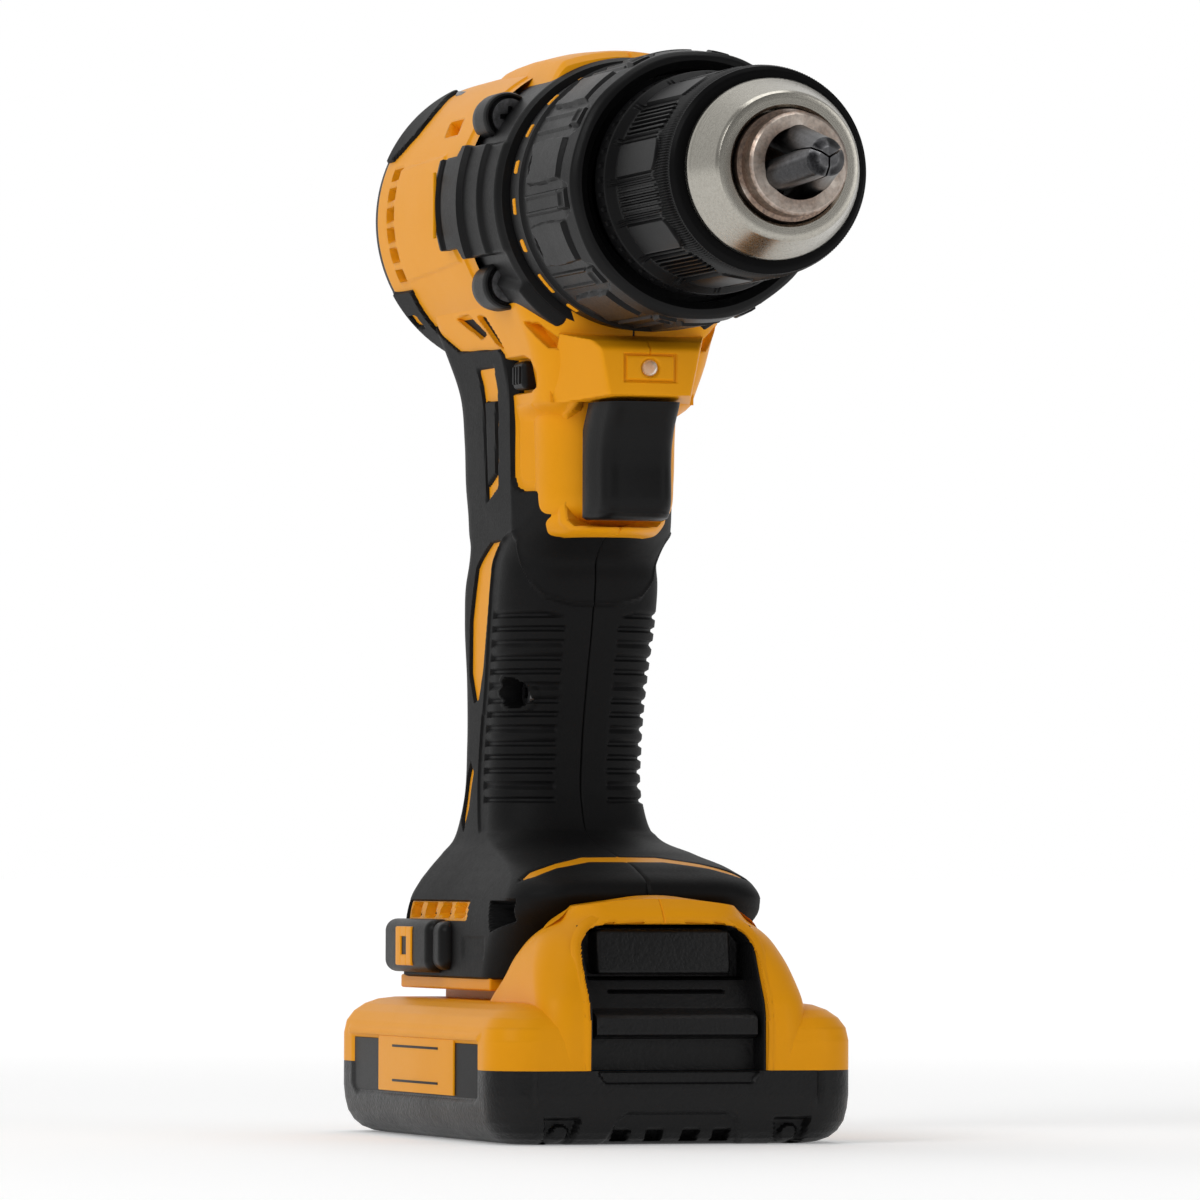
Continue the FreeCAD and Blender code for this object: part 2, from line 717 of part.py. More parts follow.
def make_jaw(k):
    bar = Part.makeCylinder(jaw_r, jaw_len, Vector(-jaw_len, 0, 0), Vector(1, 0, 0))
    jaw = jaw_line(bar, k)
    jaw = jaw.common(wedge(k, jaw_split))
    cone = turned((
        (60, 0), (60, 30), (132, 30), (jaw_tip_x - 4.0, 5.2), (jaw_tip_x - 0.4, 1.9), (jaw_tip_x - 0.4, 0)
    ))
    jaw = jaw.common(cone)
    # The rear end is relieved so that it stays inside the sleeve when the jaws are wide open
    slide = jaw_travel()
    back = Vector(-slide * math.cos(math.radians(jaw_angle)), 0, slide * math.sin(math.radians(jaw_angle)))
    turned_back = Part.makeLine(Vector(0, 0, 0), back)
    turned_back.rotate(Vector(0, 0, 0), Vector(1, 0, 0), k * 120)
    move = turned_back.Vertexes[1].Point
    jaw.translate(move)
    jaw = jaw.common(rod(sleeve_r - sleeve_wall - 0.75, 60, 160))
    jaw.translate(Vector(-move.x, -move.y, -move.z))
    return jaw


def make_chuck_body():
    profile = (
        (chuck_rear_x, 0), (chuck_rear_x, 12.0), (chuck_rear_x + 5, sleeve_r - sleeve_wall - 0.4),
        (nut_x[0] - 1, sleeve_r - sleeve_wall - 0.4), (nut_x[0] - 1, 12.5), (nut_x[1] + 1, 12.5),
        (nut_x[1] + 1, ring_hole_r - 0.3), (ring_face_x + 1, ring_hole_r - 0.3), (ring_face_x + 1.2, nose_r),
        (chuck_face_x - 0.6, nose_r), (chuck_face_x, nose_r - 0.6), (chuck_face_x, 0),
    )
    body = turned(profile)
    body = body.cut(rod(nose_hole_r, spindle_front_x + 1, chuck_face_x + 1))
    body = body.cut(rod(spindle_r + 0.01, chuck_rear_x - 1, spindle_front_x + 0.01))
    body = body.cut(rod(chuck_screw_r + run_gap, spindle_front_x - 1, spindle_front_x + 2))
    for k in range(3):
        reach = jaw_len + jaw_travel()
        bore = Part.makeCylinder(jaw_r + run_gap, reach + 4, Vector(-reach - 1, 0, 0), Vector(1, 0, 0))
        body = body.cut(jaw_line(bore, k))
    return body


def make_sleeve():
    r = sleeve_r
    inner = r - sleeve_wall
    x0 = sleeve_rear_x
    profile = (
        (x0, inner), (x0, r - 0.8), (x0 + 1.2, r), (sleeve_front_x - 3.2, r), (sleeve_front_x, r - 1.0),
        (sleeve_front_x + 1.8, r - 2.4), (sleeve_front_x + 1.8, inner - 1.6), (sleeve_front_x + 1.2, inner - 1.6),
        (sleeve_front_x + 1.2, inner),
    )
    sleeve = turned(profile)
    cuts = []
    for k in range(24):
        groove = box(x0 + 5, sleeve_front_x - 9, -0.9, 0.9, axis_z + r - 0.6, axis_z + r + 4)
        cuts.append(about_axis(groove, k * 15))
    return sleeve.cut(Part.makeCompound(cuts))


def make_bevel_ring():
    x = sleeve_front_x + 1.9
    profile = (
        (x, ring_hole_r), (x, ring_edge_r), (ring_edge_x, ring_edge_r), (ring_face_x - 0.3, ring_face_r + 0.15),
        (ring_face_x, ring_face_r - 0.2), (ring_face_x, ring_hole_r),
    )
    ring = turned(profile)
    return ring.cut(rod(nut_hole_r(), x - 1, nut_x[1] + 1.2))


def nut_hole_r():
    return 12.9


def make_nut():
    return tube(sleeve_r - sleeve_wall, nut_hole_r(), *nut_x)


def make_trigger():
    z0, z1 = trigger_z
    front = Part.Arc(Vector(trigger_top_x, 0, z1 - 1.5), Vector(trigger_mid_x, 0, (z0 + z1) / 2),
                     Vector(trigger_low_x, 0, z0 + 2.5)).toShape()
    corners = [
        Vector(trigger_low_x, 0, z0 + 2.5), Vector(trigger_low_x - 2.5, 0, z0),
        Vector(trigger_root_x, 0, z0), Vector(trigger_root_x, 0, z1),
        Vector(trigger_top_x - 1.5, 0, z1), Vector(trigger_top_x, 0, z1 - 1.5)
    ]
    edges = [Part.LineSegment(a, b).toShape() for a, b in zip(corners, corners[1:])]
    outline = Part.Wire([front] + edges)
    blade = Part.Face(outline).extrude(Vector(0, 2 * trigger_half_w, 0))
    blade.translate(Vector(0, -trigger_half_w, 0))
    lip = [e for e in blade.Edges if abs(abs(e.CenterOfMass.y) - trigger_half_w) < 0.01 and e.CenterOfMass.x > 26
           and z0 + 1 < e.CenterOfMass.z < z1 - 2]
    blade = blade.makeFillet(2.6, lip)
    stem = box(switch_x[1] - 6, trigger_root_x + 0.5, -3, 3, 139, 145)
    return fused([blade, stem])


def make_switch():
    z = (129.5, 151.0)
    body = box(switch_x[0], switch_x[1] - 8, -switch_half_w, switch_half_w, *z)
    hole = box(switch_x[1] - 24, switch_x[1] + 1, -3.3, 3.3, 138.7, 145.3)
    return body.cut(hole)


def make_trigger_spring():
    x0 = switch_x[1] - 8
    turns = 5
    step = (trigger_root_x - x0) / turns
    rings = [Part.makeTorus(2.0, 0.35, Vector(x0 + step * (k + 0.5), 0, 132.5), Vector(1, 0, 0))
             for k in range(turns)]
    links = [rod(0.3, x0 + step * (k + 0.5), x0 + step * (k + 1.5), 0, 134.5) for k in range(turns - 1)]
    return fused(rings + links)


def make_direction_button():
    bar = box(*button_x, -button_half_len, button_half_len, *button_z)
    ends = [e for e in bar.Edges if abs(abs(e.CenterOfMass.y) - button_half_len) < 0.01]
    return bar.makeFillet(1.2, ends)


def make_selector():
    x0, x1 = selector_x
    cap = box(x0, x1, -selector_half_w, selector_half_w, selector_floor_z + 0.4, hump_top_z - 1.4)
    ribs = [box(x, x + 1.0, -selector_half_w, selector_half_w, hump_top_z - 1.5, hump_top_z - 0.6)
            for x in (x0 + 2, x0 + 5.5, x0 + 9)]
    return fused([cap] + ribs)


def make_led():
    lens = rod(led_r, nose_x - 3.6, nose_x - 0.6, 0, led_z)
    dome = Part.makeSphere(led_r, Vector(nose_x - 1.6, 0, led_z))
    return fused([lens, dome.common(box(nose_x - 1.0, nose_x + 5, -5, 5, 150, 170))])


def make_led_board():
    return box(nose_x - 5.4, nose_x - 3.8, -6.0, 6.0, led_z - 3.2, led_z + 3.2)


def make_housing_screws():
    screws = []
    for x, z in screw_spots:
        y = screw_seat_y(z)
        head = rod_y(screw_head_r, y - 2.0, y, x, z)
        star = rod_y(1.2, y - 2.5, y - 0.8, x, z)
        screws.append(fused([head, rod_y(screw_r, y - 0.1, 11.5, x, z)]).cut(star))
    return Part.makeCompound(screws)


def make_hook_bosses():
    blocks = []
    for side, block in zip((-1, 1), boss_block(0.0)):
        outer = [e for e in block.Edges if abs(abs(e.CenterOfMass.y) - boss_y[1]) < 0.01]
        block = block.makeFillet(1.6, outer)
        ys = sorted((side * (boss_y[1] - insert_len), side * (boss_y[1] + 1)))
        blocks.append(block.cut(rod_y(insert_r, *ys, insert_x, insert_z)))
    return Part.makeCompound(blocks)


def make_hook_inserts():
    inserts = []
    for side in (-1, 1):
        ys = sorted((side * (boss_y[1] - insert_len), side * (boss_y[1] - 0.4)))
        sleeve = rod_y(insert_r, *ys, insert_x, insert_z)
        inserts.append(sleeve.cut(rod_y(hook_hole_r, ys[0] - 1, ys[1] + 1, insert_x, insert_z)))
    return Part.makeCompound(inserts)


def make_controller():
    board = box(-40, 4, -16, 16, 45.5, 47.1)
    chips = [
        box(-34, -22, -10, 2, 47.0, 50.0), box(-16, -8, -8, 8, 47.0, 49.0), box(-6, 0, -12, -4, 47.0, 52.0)
    ]
    return fused([board] + chips)


def make_terminal_block():
    rear = tower_x[0] - slide_gap
    block = box(rear - 4.6, rear, -14, 14, 37, 44.5)
    blades = [box(rear - 0.1, rear + 10, y - 0.4, y + 0.4, 38, 40) for y in (-9, -3, 3, 9)]
    return fused([block] + blades)


def pack_outline(z, inset):
    return round_section(z, pack_front_x, pack_rear_x, pack_half_w, pack_corner_r, inset)


def make_lower_case():
    levels = ((0.0, pack_bottom_inset), (1.0, 1.6), (3.2, 0.4), (6.0, 0.0), (parting_z, 0.0))
    wires = [pack_outline(z, i) for z, i in levels]
    case = Part.makeLoft(wires, True, True)
    levels = [pack_outline(pack_wall, pack_wall + 1.2), pack_outline(parting_z + 1, pack_wall + 1.2)]
    hollow = Part.makeLoft(levels, True, True)
    case = case.cut(hollow)
    posts = []
    holes = []
    for sx in (-1, 1):
        for sy in (-1, 1):
            spot = (sx * pack_screw_x, sy * pack_screw_y)
            posts.append(rod_z(pack_post_r, 1, parting_z, *spot))
            holes.append(rod_z(pack_screw_r + run_gap, -1, 30, *spot))
            holes.append(rod_z(3.2, -1, 4, *spot))
    case = fused([case] + posts).cut(fused(holes))
    return case


def make_upper_case():
    levels = ((parting_z, 0.0), (shoulder_z - shoulder_round, 0.0), (shoulder_z - 2.4, 1.6), (shoulder_z, 4.6))
    case = Part.makeLoft([pack_outline(z, i) for z, i in levels], True, True)
    arch = lofted(arch_sections)
    neck = box(*tower_x, -tower_neck_half_w, tower_neck_half_w, shoulder_z - 2, tower_top_z)
    head = box(*tower_x, -tower_head_half_w, tower_head_half_w, tower_neck_z, tower_top_z)
    case = fused([case, arch, neck, head])
    low = pack_outline(parting_z - 1, pack_wall + 1.2)
    high = pack_outline(shoulder_z - 2.4, pack_wall + 2.4)
    hollow = Part.makeLoft([low, high], True, True)
    room = hollow.cut(box(recess_wall_x - pack_wall, 70, -60, 60, 0, 60))
    case = case.cut(room)
    core_half_w = tower_neck_half_w - 2.2
    core = box(tower_x[0] + 2, tower_x[1], -core_half_w, core_half_w, 20, tower_top_z - 2.2)
    case = case.cut(core)
    slots = [box(tower_x[0] - 1, tower_x[0] + 13, y - 0.9, y + 0.9, 37.5, tower_top_z + 1)
             for y in (-9, -3, 3, 9)]
    case = case.cut(fused(slots))
    # Latch recess in the front arch
    recess = side_profile(((recess_wall_x, parting_z - 1), (recess_wall_x, 30.0), (40.0, 33.0), (40.0, arch_top_z),
                           (70, arch_top_z), (70, parting_z - 1)), arch_half_w)
    case = case.cut(recess)
    guide_half_w = latch_half_w + slide_gap
    guide = box(30, 41, -guide_half_w, guide_half_w, latch_z[0] - slide_gap, latch_z[1] + slide_gap)
    case = case.cut(guide)
    shelf_x = (recess_wall_x + 0.02, 56.0)
    ledge = ((shelf_x[0], 22.2), (shelf_x[1], 22.2), (shelf_x[1], 25.2), (shelf_x[0], 27.4))
    shelf = side_profile(ledge, arch_half_w - 0.02)
    posts = []
    holes = []
    for sx in (-1, 1):
        for sy in (-1, 1):
            spot = (sx * pack_screw_x, sy * pack_screw_y)
            posts.append(rod_z(pack_post_r, parting_z, shoulder_z - 2, *spot))
            holes.append(rod_z(pack_screw_r + run_gap, parting_z - 1, shoulder_z - 4, *spot))
    return fused([case] + posts).cut(fused(holes)), shelf


def make_latch():
    face = side_profile(
        ((latch_front_x - 1.0, latch_z[0]), (latch_front_x, latch_z[0] + 1.0), (latch_front_x - 2.0, latch_z[1] - 1.0),
         (latch_front_x - 3.5, latch_z[1]), (34.0, latch_z[1]), (34.0, latch_z[0])), latch_half_w)
    return face


def make_latch_spring():
    turns = 3
    step = (34.0 - 30.2) / turns
    rings = [Part.makeTorus(2.2, 0.35, Vector(30.2 + step * (k + 0.5), 0, 38.5), Vector(1, 0, 0))
             for k in range(turns)]
    links = [rod(0.3, 30.2 + step * (k + 0.5), 30.2 + step * (k + 1.5), 0, 40.7) for k in range(turns - 1)]
    return fused(rings + links)


def make_cells():
    first = -cell_pitch * (cell_count - 1) / 2
    cells = []
    for k in range(cell_count):
        x = first + k * cell_pitch
        can = rod_y(cell_r, -cell_len / 2, cell_len / 2 - 1.0, x, cell_z)
        cells.append(fused([can, rod_y(3.0, cell_len / 2 - 1.1, cell_len / 2, x, cell_z)]))
    return Part.makeCompound(cells)


def make_pack_board():
    board = box(tower_x[0] + 2.6, 14, -16, 16, 23.0, 24.6)
    clips = []
    for y in (-9, -3, 3, 9):
        clip = box(tower_x[0] + 2.8, tower_x[0] + 11, y - 1.8, y + 1.8, 24.5, 37.0)
        clips.append(clip.cut(box(-60, 0, y - 0.6, y + 0.6, 26, 38)))
    return fused([board] + clips)


def make_pack_screws():
    screws = []
    for sx in (-1, 1):
        for sy in (-1, 1):
            spot = (sx * pack_screw_x, sy * pack_screw_y)
            screw = fused([rod_z(2.8, 2.0, 4.0, *spot), rod_z(pack_screw_r, 3.9, 23.0, *spot)])
            screws.append(screw.cut(rod_z(1.1, 1, 3.2, *spot)))
    return Part.makeCompound(screws)


def make_rear_bumper():
    pad = rod_y(6.2, -9, 9, -50.0, 162.5)
    pad = pad.cut(rod(barrel_r + 0.02, -80, 60))
    return pad


os.makedirs("parts", exist_ok=True)
shell_right, shell_left, rubber_right, rubber_left = shell_pair()
bumper = make_rear_bumper().cut(shell_right).cut(shell_left).cut(rubber_right).cut(rubber_left)
bumper = max(bumper.Solids, key=lambda solid: solid.Volume)
save("housing_right", shell_right)
save("housing_left", shell_left)
save("grip_rubber_right", rubber_right)
save("grip_rubber_left", rubber_left)
save("rear_bumper", bumper)
save("rear_cap", make_rear_cap())
save("gearcase", make_gearcase())
save("gearcase_screws", make_gearcase_screws())
save("torque_collar", make_collar())
save("motor_can", make_motor_can())
save("motor_magnets", make_magnets())
save("brush_card", make_brush_card())
save("armature", make_armature())
save("armature_windings", make_windings())
save("commutator", make_commutator())
save("cooling_fan", make_fan())
save("motor_shaft", rod(shaft_r, shaft_rear_x, shaft_front_x - 10.5))
bore_r = shaft_r + run_gap
seat_x = barrel_rear_x - 0.4
save("motor_bearing_rear", make_bearing(motor_bearing_r, bore_r, seat_x, seat_x + motor_bearing_t))
save("motor_bearing_front", make_bearing(motor_bearing_r, bore_r, can_front_x - 5.4, can_front_x - 0.4))
save("motor_pinion", gear(sun_teeth, stage_x[0] - 0.5, gear_t).cut(rod(1.0, 0, stage_x[0] + 0.01)))
save("ring_gears", Part.makeCompound([ring_gear(stage_x[0]), ring_gear(stage_x[1])]))
second_sun = gear(sun_teeth, stage_x[0] + gear_t + 0.2 + carrier_t, stage_x[1] - stage_x[0] - 0.4 - carrier_t)
save("first_carrier", fused(carrier(0) + [second_sun]))
save("second_carrier", fused(carrier(1)))
for stage, name in enumerate(("first", "second")):
    for k in range(planet_count):
        save(name + "_planet_" + str(k + 1), planet(stage, k))
save("spindle", make_spindle())
save("spindle_bearing", make_bearing(spindle_bearing_r, spindle_r + run_gap, *spindle_bearing_x))
save("clutch_spring", make_clutch_spring())
save("chuck_body", make_chuck_body())
screw_shank = rod(chuck_screw_r, spindle_front_x - 19.5, spindle_front_x + 1.2)
screw_head = rod(5.4, spindle_front_x + 1.0, spindle_front_x + 4.0)
save("chuck_screw", fused([screw_shank, screw_head]))
for k in range(3):
    save("chuck_jaw_" + str(k + 1), make_jaw(k))
save("chuck_nut", make_nut())
save("chuck_sleeve", make_sleeve())
save("chuck_bevel_ring", make_bevel_ring())
save("trigger", make_trigger())
save("switch_body", make_switch())
save("trigger_spring", make_trigger_spring())
save("direction_button", make_direction_button())
save("speed_selector", make_selector())
save("led_lens", make_led())
save("led_board", make_led_board())
save("housing_screws", make_housing_screws())
save("hook_bosses", make_hook_bosses())
save("hook_inserts", make_hook_inserts())
save("controller_board", make_controller())
save("terminal_block", make_terminal_block())
save("battery_lower_case", make_lower_case())
upper, shelf = make_upper_case()
save("battery_upper_case", upper)
save("battery_finger_shelf", shelf)
save("battery_latch", make_latch())
save("latch_spring", make_latch_spring())
save("battery_cells", make_cells())
save("battery_board", make_pack_board())
save("battery_screws", make_pack_screws())
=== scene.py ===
import json
import math
import bpy
import numpy as np
from mathutils import Matrix, Vector


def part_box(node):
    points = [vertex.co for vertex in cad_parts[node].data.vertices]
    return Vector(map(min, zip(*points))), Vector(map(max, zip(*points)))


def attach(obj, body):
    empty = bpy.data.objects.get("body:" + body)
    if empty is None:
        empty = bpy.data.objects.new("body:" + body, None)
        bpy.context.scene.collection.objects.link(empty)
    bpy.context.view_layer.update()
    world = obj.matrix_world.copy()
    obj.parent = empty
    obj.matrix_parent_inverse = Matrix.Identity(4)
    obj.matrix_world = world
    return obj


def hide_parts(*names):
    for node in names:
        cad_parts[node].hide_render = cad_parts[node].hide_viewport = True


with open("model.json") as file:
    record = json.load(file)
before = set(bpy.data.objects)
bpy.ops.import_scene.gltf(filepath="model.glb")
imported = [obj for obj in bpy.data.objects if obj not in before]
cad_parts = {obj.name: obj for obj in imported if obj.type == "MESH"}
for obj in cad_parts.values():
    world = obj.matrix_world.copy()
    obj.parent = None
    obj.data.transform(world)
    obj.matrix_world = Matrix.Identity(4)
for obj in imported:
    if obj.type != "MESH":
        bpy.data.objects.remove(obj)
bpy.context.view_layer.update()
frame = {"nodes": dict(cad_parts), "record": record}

mm = 0.001
print("frame loaded:", len(frame["nodes"]), "nodes")


def frameSpan(node):
    # a CAD node's lowest and highest corners in millimetres
    low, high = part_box(node)
    return np.array(low) / mm, np.array(high) / mm


bevelLow, bevelHigh = frameSpan("chuck_bevel_ring")
axisZ = (bevelLow[2] + bevelHigh[2]) / 2     # height of the motor and chuck axis


# small numeric helpers, all on whole arrays

def smoothStep(a, b, x):
    # cubic ease from 0 at a to 1 at b
    t = np.clip((x - a) / (b - a), 0, 1)
    return t * t * (3 - 2 * t)


def curveThrough(knotX, knotY, x):
    # cubic Hermite through the knots, with slopes from their neighbours
    kx = np.asarray(knotX, float)
    ky = np.asarray(knotY, float)
    slope = np.gradient(ky, kx)
    i = np.clip(np.searchsorted(kx, x) - 1, 0, len(kx) - 2)
    h = kx[i + 1] - kx[i]
    t = np.clip((x - kx[i]) / h, 0, 1)
    a = (1 + 2 * t) * (1 - t) ** 2 * ky[i] + t * (1 - t) ** 2 * h * slope[i]
    b = t * t * (3 - 2 * t) * ky[i + 1] + t * t * (t - 1) * h * slope[i + 1]
    return a + b


def gridFaces(nu, nv, closeU, closeV, offset=0):
    # quads of a nu by nv grid of points, joined at the ends where it closes
    iu = np.arange(nu if closeU else nu - 1)
    iv = np.arange(nv if closeV else nv - 1)
    a, b = np.meshgrid(iu, iv, indexing="ij")
    a2 = (a + 1) % nu
    b2 = (b + 1) % nv
    quads = np.stack([a * nv + b, a2 * nv + b, a2 * nv + b2, a * nv + b2], axis=-1)
    return quads.reshape(-1, 4) + offset


class Surface:
    # points in millimetres and faces of one piece, gathered from grids

    def __init__(self):
        self.points = []
        self.quads = []
        self.fans = []
        self.count = 0

    def grid(self, pts, closeU=False, closeV=False, capFirst=False, capLast=False, flip=False):
        pts = np.asarray(pts, float)
        nu, nv = pts.shape[:2]
        faces = gridFaces(nu, nv, closeU, closeV, self.count)
        self.points.append(pts.reshape(-1, 3))
        self.quads.append(faces[:, ::-1] if flip else faces)
        base = self.count
        self.count += nu * nv
        for row, wanted, turn in ((0, capFirst, False), (nu - 1, capLast, True)):
            if wanted:
                ring = base + row * nv + np.arange(nv)
                centre = pts[row].mean(0)
                self.points.append(centre[None])
                spokes = np.stack([np.full(nv, self.count), np.roll(ring, -1), ring], axis=-1)
                if turn != flip:
                    spokes = spokes[:, ::-1]
                self.fans.append(spokes)
                self.count += 1
        return self

    def build(self, name, body, material, sharp=38.0, replaces=(), slot=None, mirrorY=False, weld=False):
        co = np.concatenate(self.points) * mm
        quads = np.concatenate(self.quads)
        tris = np.concatenate(self.fans) if self.fans else np.zeros((0, 3), int)
        if weld:
            _, first, remap = np.unique(np.round(co, 8), axis=0, return_index=True, return_inverse=True)
            remap = remap.ravel()
            co, quads, tris = co[first], remap[quads], remap[tris]
        if mirrorY:
            co = co * np.array([1, -1, 1])
            quads = quads[:, ::-1]
            tris = tris[:, ::-1]
        mesh = bpy.data.meshes.new(name)
        mesh.vertices.add(len(co))
        mesh.vertices.foreach_set("co", co.astype(np.float32).ravel())
        loops = np.concatenate([quads.ravel(), tris.ravel()]).astype(np.int32)
        starts = np.concatenate([np.arange(len(quads)) * 4, len(quads) * 4 + np.arange(len(tris)) * 3])
        mesh.loops.add(len(loops))
        mesh.loops.foreach_set("vertex_index", loops)
        mesh.polygons.add(len(starts))
        mesh.polygons.foreach_set("loop_start", starts.astype(np.int32))
        mesh.update(calc_edges=True)
        mesh.validate()
        mesh.polygons.foreach_set("use_smooth", np.ones(len(mesh.polygons), bool))
        mesh.set_sharp_from_angle(angle=math.radians(sharp))
        piece = bpy.data.objects.new(name, mesh)
        bpy.context.scene.collection.objects.link(piece)
        piece.data.materials.append(material)
        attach(piece, body)
        if replaces:
            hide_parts(*replaces)
        return piece


def turnedPoints(xs, rs, steps):
    # points of a profile (x, r) turned round the chuck axis, as a grid over (station, angle)
    turn = np.arange(steps) * 2 * np.pi / steps
    x = np.asarray(xs, float)[:, None] + 0 * turn
    r = np.asarray(rs, float)[:, None] + 0 * turn
    return np.stack([x, -r * np.cos(turn), axisZ + r * np.sin(turn)], axis=-1)


def turnDegrees(steps):
    return np.degrees(np.arange(steps) * 2 * np.pi / steps)[None, :]


def pushOut(pts, rise, turn):
    # moves turned points away from the chuck axis by rise, at their angles in degrees
    angle = np.radians(turn)
    pts[..., 1] -= rise * np.cos(angle)
    pts[..., 2] += rise * np.sin(angle)


def denseProfile(corners, step=0.5):
    # points along a polyline of (x, r) corners, with each corner kept
    xs, rs = [], []
    for (x0, r0), (x1, r1) in zip(corners, corners[1:]):
        n = max(1, int(math.hypot(x1 - x0, r1 - r0) / step))
        t = np.arange(n) / n
        xs.append(x0 + (x1 - x0) * t)
        rs.append(r0 + (r1 - r0) * t)
    xs.append([corners[-1][0]])
    rs.append([corners[-1][1]])
    return np.concatenate(xs), np.concatenate(rs)


def softBox(surface, low, high, radius, lean=None):
    # a closed box with rounded edges: each point of a cube is held to an inner box and pushed out by the
    # radius
    low = np.asarray(low, float)
    high = np.asarray(high, float)
    half = (high - low) / 2
    centre = (high + low) / 2
    radius = min(radius, 0.98 * half.min())
    for axis in range(3):
        i, j = [k for k in range(3) if k != axis]
        stops = []
        for k in (i, j):
            inner = half[k] - radius
            bend = radius * np.tan(np.linspace(0, np.pi / 4, 5))
            stops.append(np.concatenate([-(inner + bend)[::-1], inner + bend]))
        for sign in (-1, 1):
            p = np.zeros((len(stops[0]), len(stops[1]), 3))
            p[..., i] = stops[0][:, None]
            p[..., j] = stops[1][None, :]
            p[..., axis] = sign * half[axis]
            core = np.clip(p, -(half - radius), half - radius)
            away = p - core
            away /= np.linalg.norm(away, axis=-1, keepdims=True)
            pts = core + away * radius
            if lean:
                pts = lean(pts + centre) - centre
            surface.grid(pts + centre, flip=(sign < 0) != (axis == 1))
    return surface


def flankBox(surface, spanX, spanY, spanZ, radius):
    # the same rounded box on both sides of the centre plane
    for side in (-1, 1):
        low, high = sorted((side * spanY[0], side * spanY[1]))
        softBox(surface, (spanX[0], low, spanZ[0]), (spanX[1], high, spanZ[1]), radius)


def boxPiece(name):
    # a piece made only of rounded boxes, from its row in boxPieces
    row = boxPieces[name]
    surface = Surface()
    for low, high, radius in row.get("boxes", ()):
        softBox(surface, low, high, radius, row.get("lean"))
    for spans in row.get("flanks", ()):
        flankBox(surface, *spans)
    look = plastics[row["look"]]
    surface.build(name, row["body"], look, 40.0, row.get("replaces", ()), row["slot"], weld=True)


# shader node groups

def nodeGroup(name, inputs, outputs):
    group = bpy.data.node_groups.new(name, "ShaderNodeTree")
    for label, kind, value in inputs:
        socket = group.interface.new_socket(label, in_out="INPUT", socket_type=kind)
        socket.default_value = value
    for label, kind in outputs:
        group.interface.new_socket(label, in_out="OUTPUT", socket_type=kind)
    return group, group.nodes.new("NodeGroupInput"), group.nodes.new("NodeGroupOutput")


def mathNode(tree, operation, a, b=None, c=None):
    node = tree.nodes.new("ShaderNodeMath")
    node.operation = operation
    for i, value in enumerate((a, b, c)):
        if value is None:
            continue
        if isinstance(value, (int, float)):
            node.inputs[i].default_value = value
        else:
            tree.links.new(value, node.inputs[i])
    return node.outputs[0]


def noiseNode(tree, vector, scale, detail=3.0, roughness=0.5):
    node = tree.nodes.new("ShaderNodeTexNoise")
    node.inputs["Detail"].default_value = detail
    node.inputs["Roughness"].default_value = roughness
    if isinstance(scale, (int, float)):
        node.inputs["Scale"].default_value = scale
    else:
        tree.links.new(scale, node.inputs["Scale"])
    tree.links.new(vector, node.inputs["Vector"])
    return node.outputs["Fac"]


def mouldGrainGroup():
    # spark-eroded mould texture: cells and noise mixed into one height
    group, into, out = nodeGroup(
        "mouldGrain",
        [("Grains per metre", "NodeSocketFloat", 2200.0), ("Depth", "NodeSocketFloat", 1.0)],
        [("Height", "NodeSocketFloat"), ("Tone", "NodeSocketFloat")],
    )
    coord = group.nodes.new("ShaderNodeTexCoord").outputs["Object"]
    fine = noiseNode(group, coord, into.outputs["Grains per metre"], 2.0, 0.6)
    coarse = noiseNode(group, coord, mathNode(group, "MULTIPLY", into.outputs["Grains per metre"], 0.31),
                       2.0, 0.5)
    both = mathNode(group, "MULTIPLY_ADD", fine, 0.7, mathNode(group, "MULTIPLY", coarse, 0.3))
    group.links.new(mathNode(group, "MULTIPLY", both, into.outputs["Depth"]), out.inputs["Height"])
    group.links.new(both, out.inputs["Tone"])
    return group


def handlingGroup():
    # soft uneven sheen and dust from handling, slow over the surface, plus a worn-edge mask and a crevice
    # mask for painted shade and dust
    group, into, out = nodeGroup(
        "handling",
        [("Patches per metre", "NodeSocketFloat", 35.0), ("Edge gain", "NodeSocketFloat", 10.0)],
        [("Patches", "NodeSocketFloat"), ("Edge", "NodeSocketFloat"), ("Crevice", "NodeSocketFloat")],
    )
    coord = group.nodes.new("ShaderNodeTexCoord").outputs["Object"]
    patches = noiseNode(group, coord, into.outputs["Patches per metre"], 5.0, 0.6)
    breakup = noiseNode(group, coord, 900.0, 3.0, 0.7)
    point = group.nodes.new("ShaderNodeNewGeometry").outputs["Pointiness"]
    raised = mathNode(group, "SUBTRACT", point, 0.52)
    edge = mathNode(group, "MULTIPLY", raised, into.outputs["Edge gain"])
    broken = mathNode(group, "MULTIPLY", edge, mathNode(group, "MULTIPLY", breakup, 1.6))
    clamp = group.nodes.new("ShaderNodeClamp")
    group.links.new(broken, clamp.inputs["Value"])
    # sunk places: painted shade in crevices on the coloured plastics (darker there), dust on the blacks
    # (lighter there)
    sunk = mathNode(group, "MULTIPLY", mathNode(group, "SUBTRACT", 0.485, point), 9.0)
    clampLow = group.nodes.new("ShaderNodeClamp")
    group.links.new(sunk, clampLow.inputs["Value"])
    group.links.new(patches, out.inputs["Patches"])
    group.links.new(clamp.outputs[0], out.inputs["Edge"])
    group.links.new(clampLow.outputs[0], out.inputs["Crevice"])
    return group


middleSpan = (0.3, 0.7)     # the part of a noise that spreads over a material's roughness
grainGroup = mouldGrainGroup()
handGroup = handlingGroup()


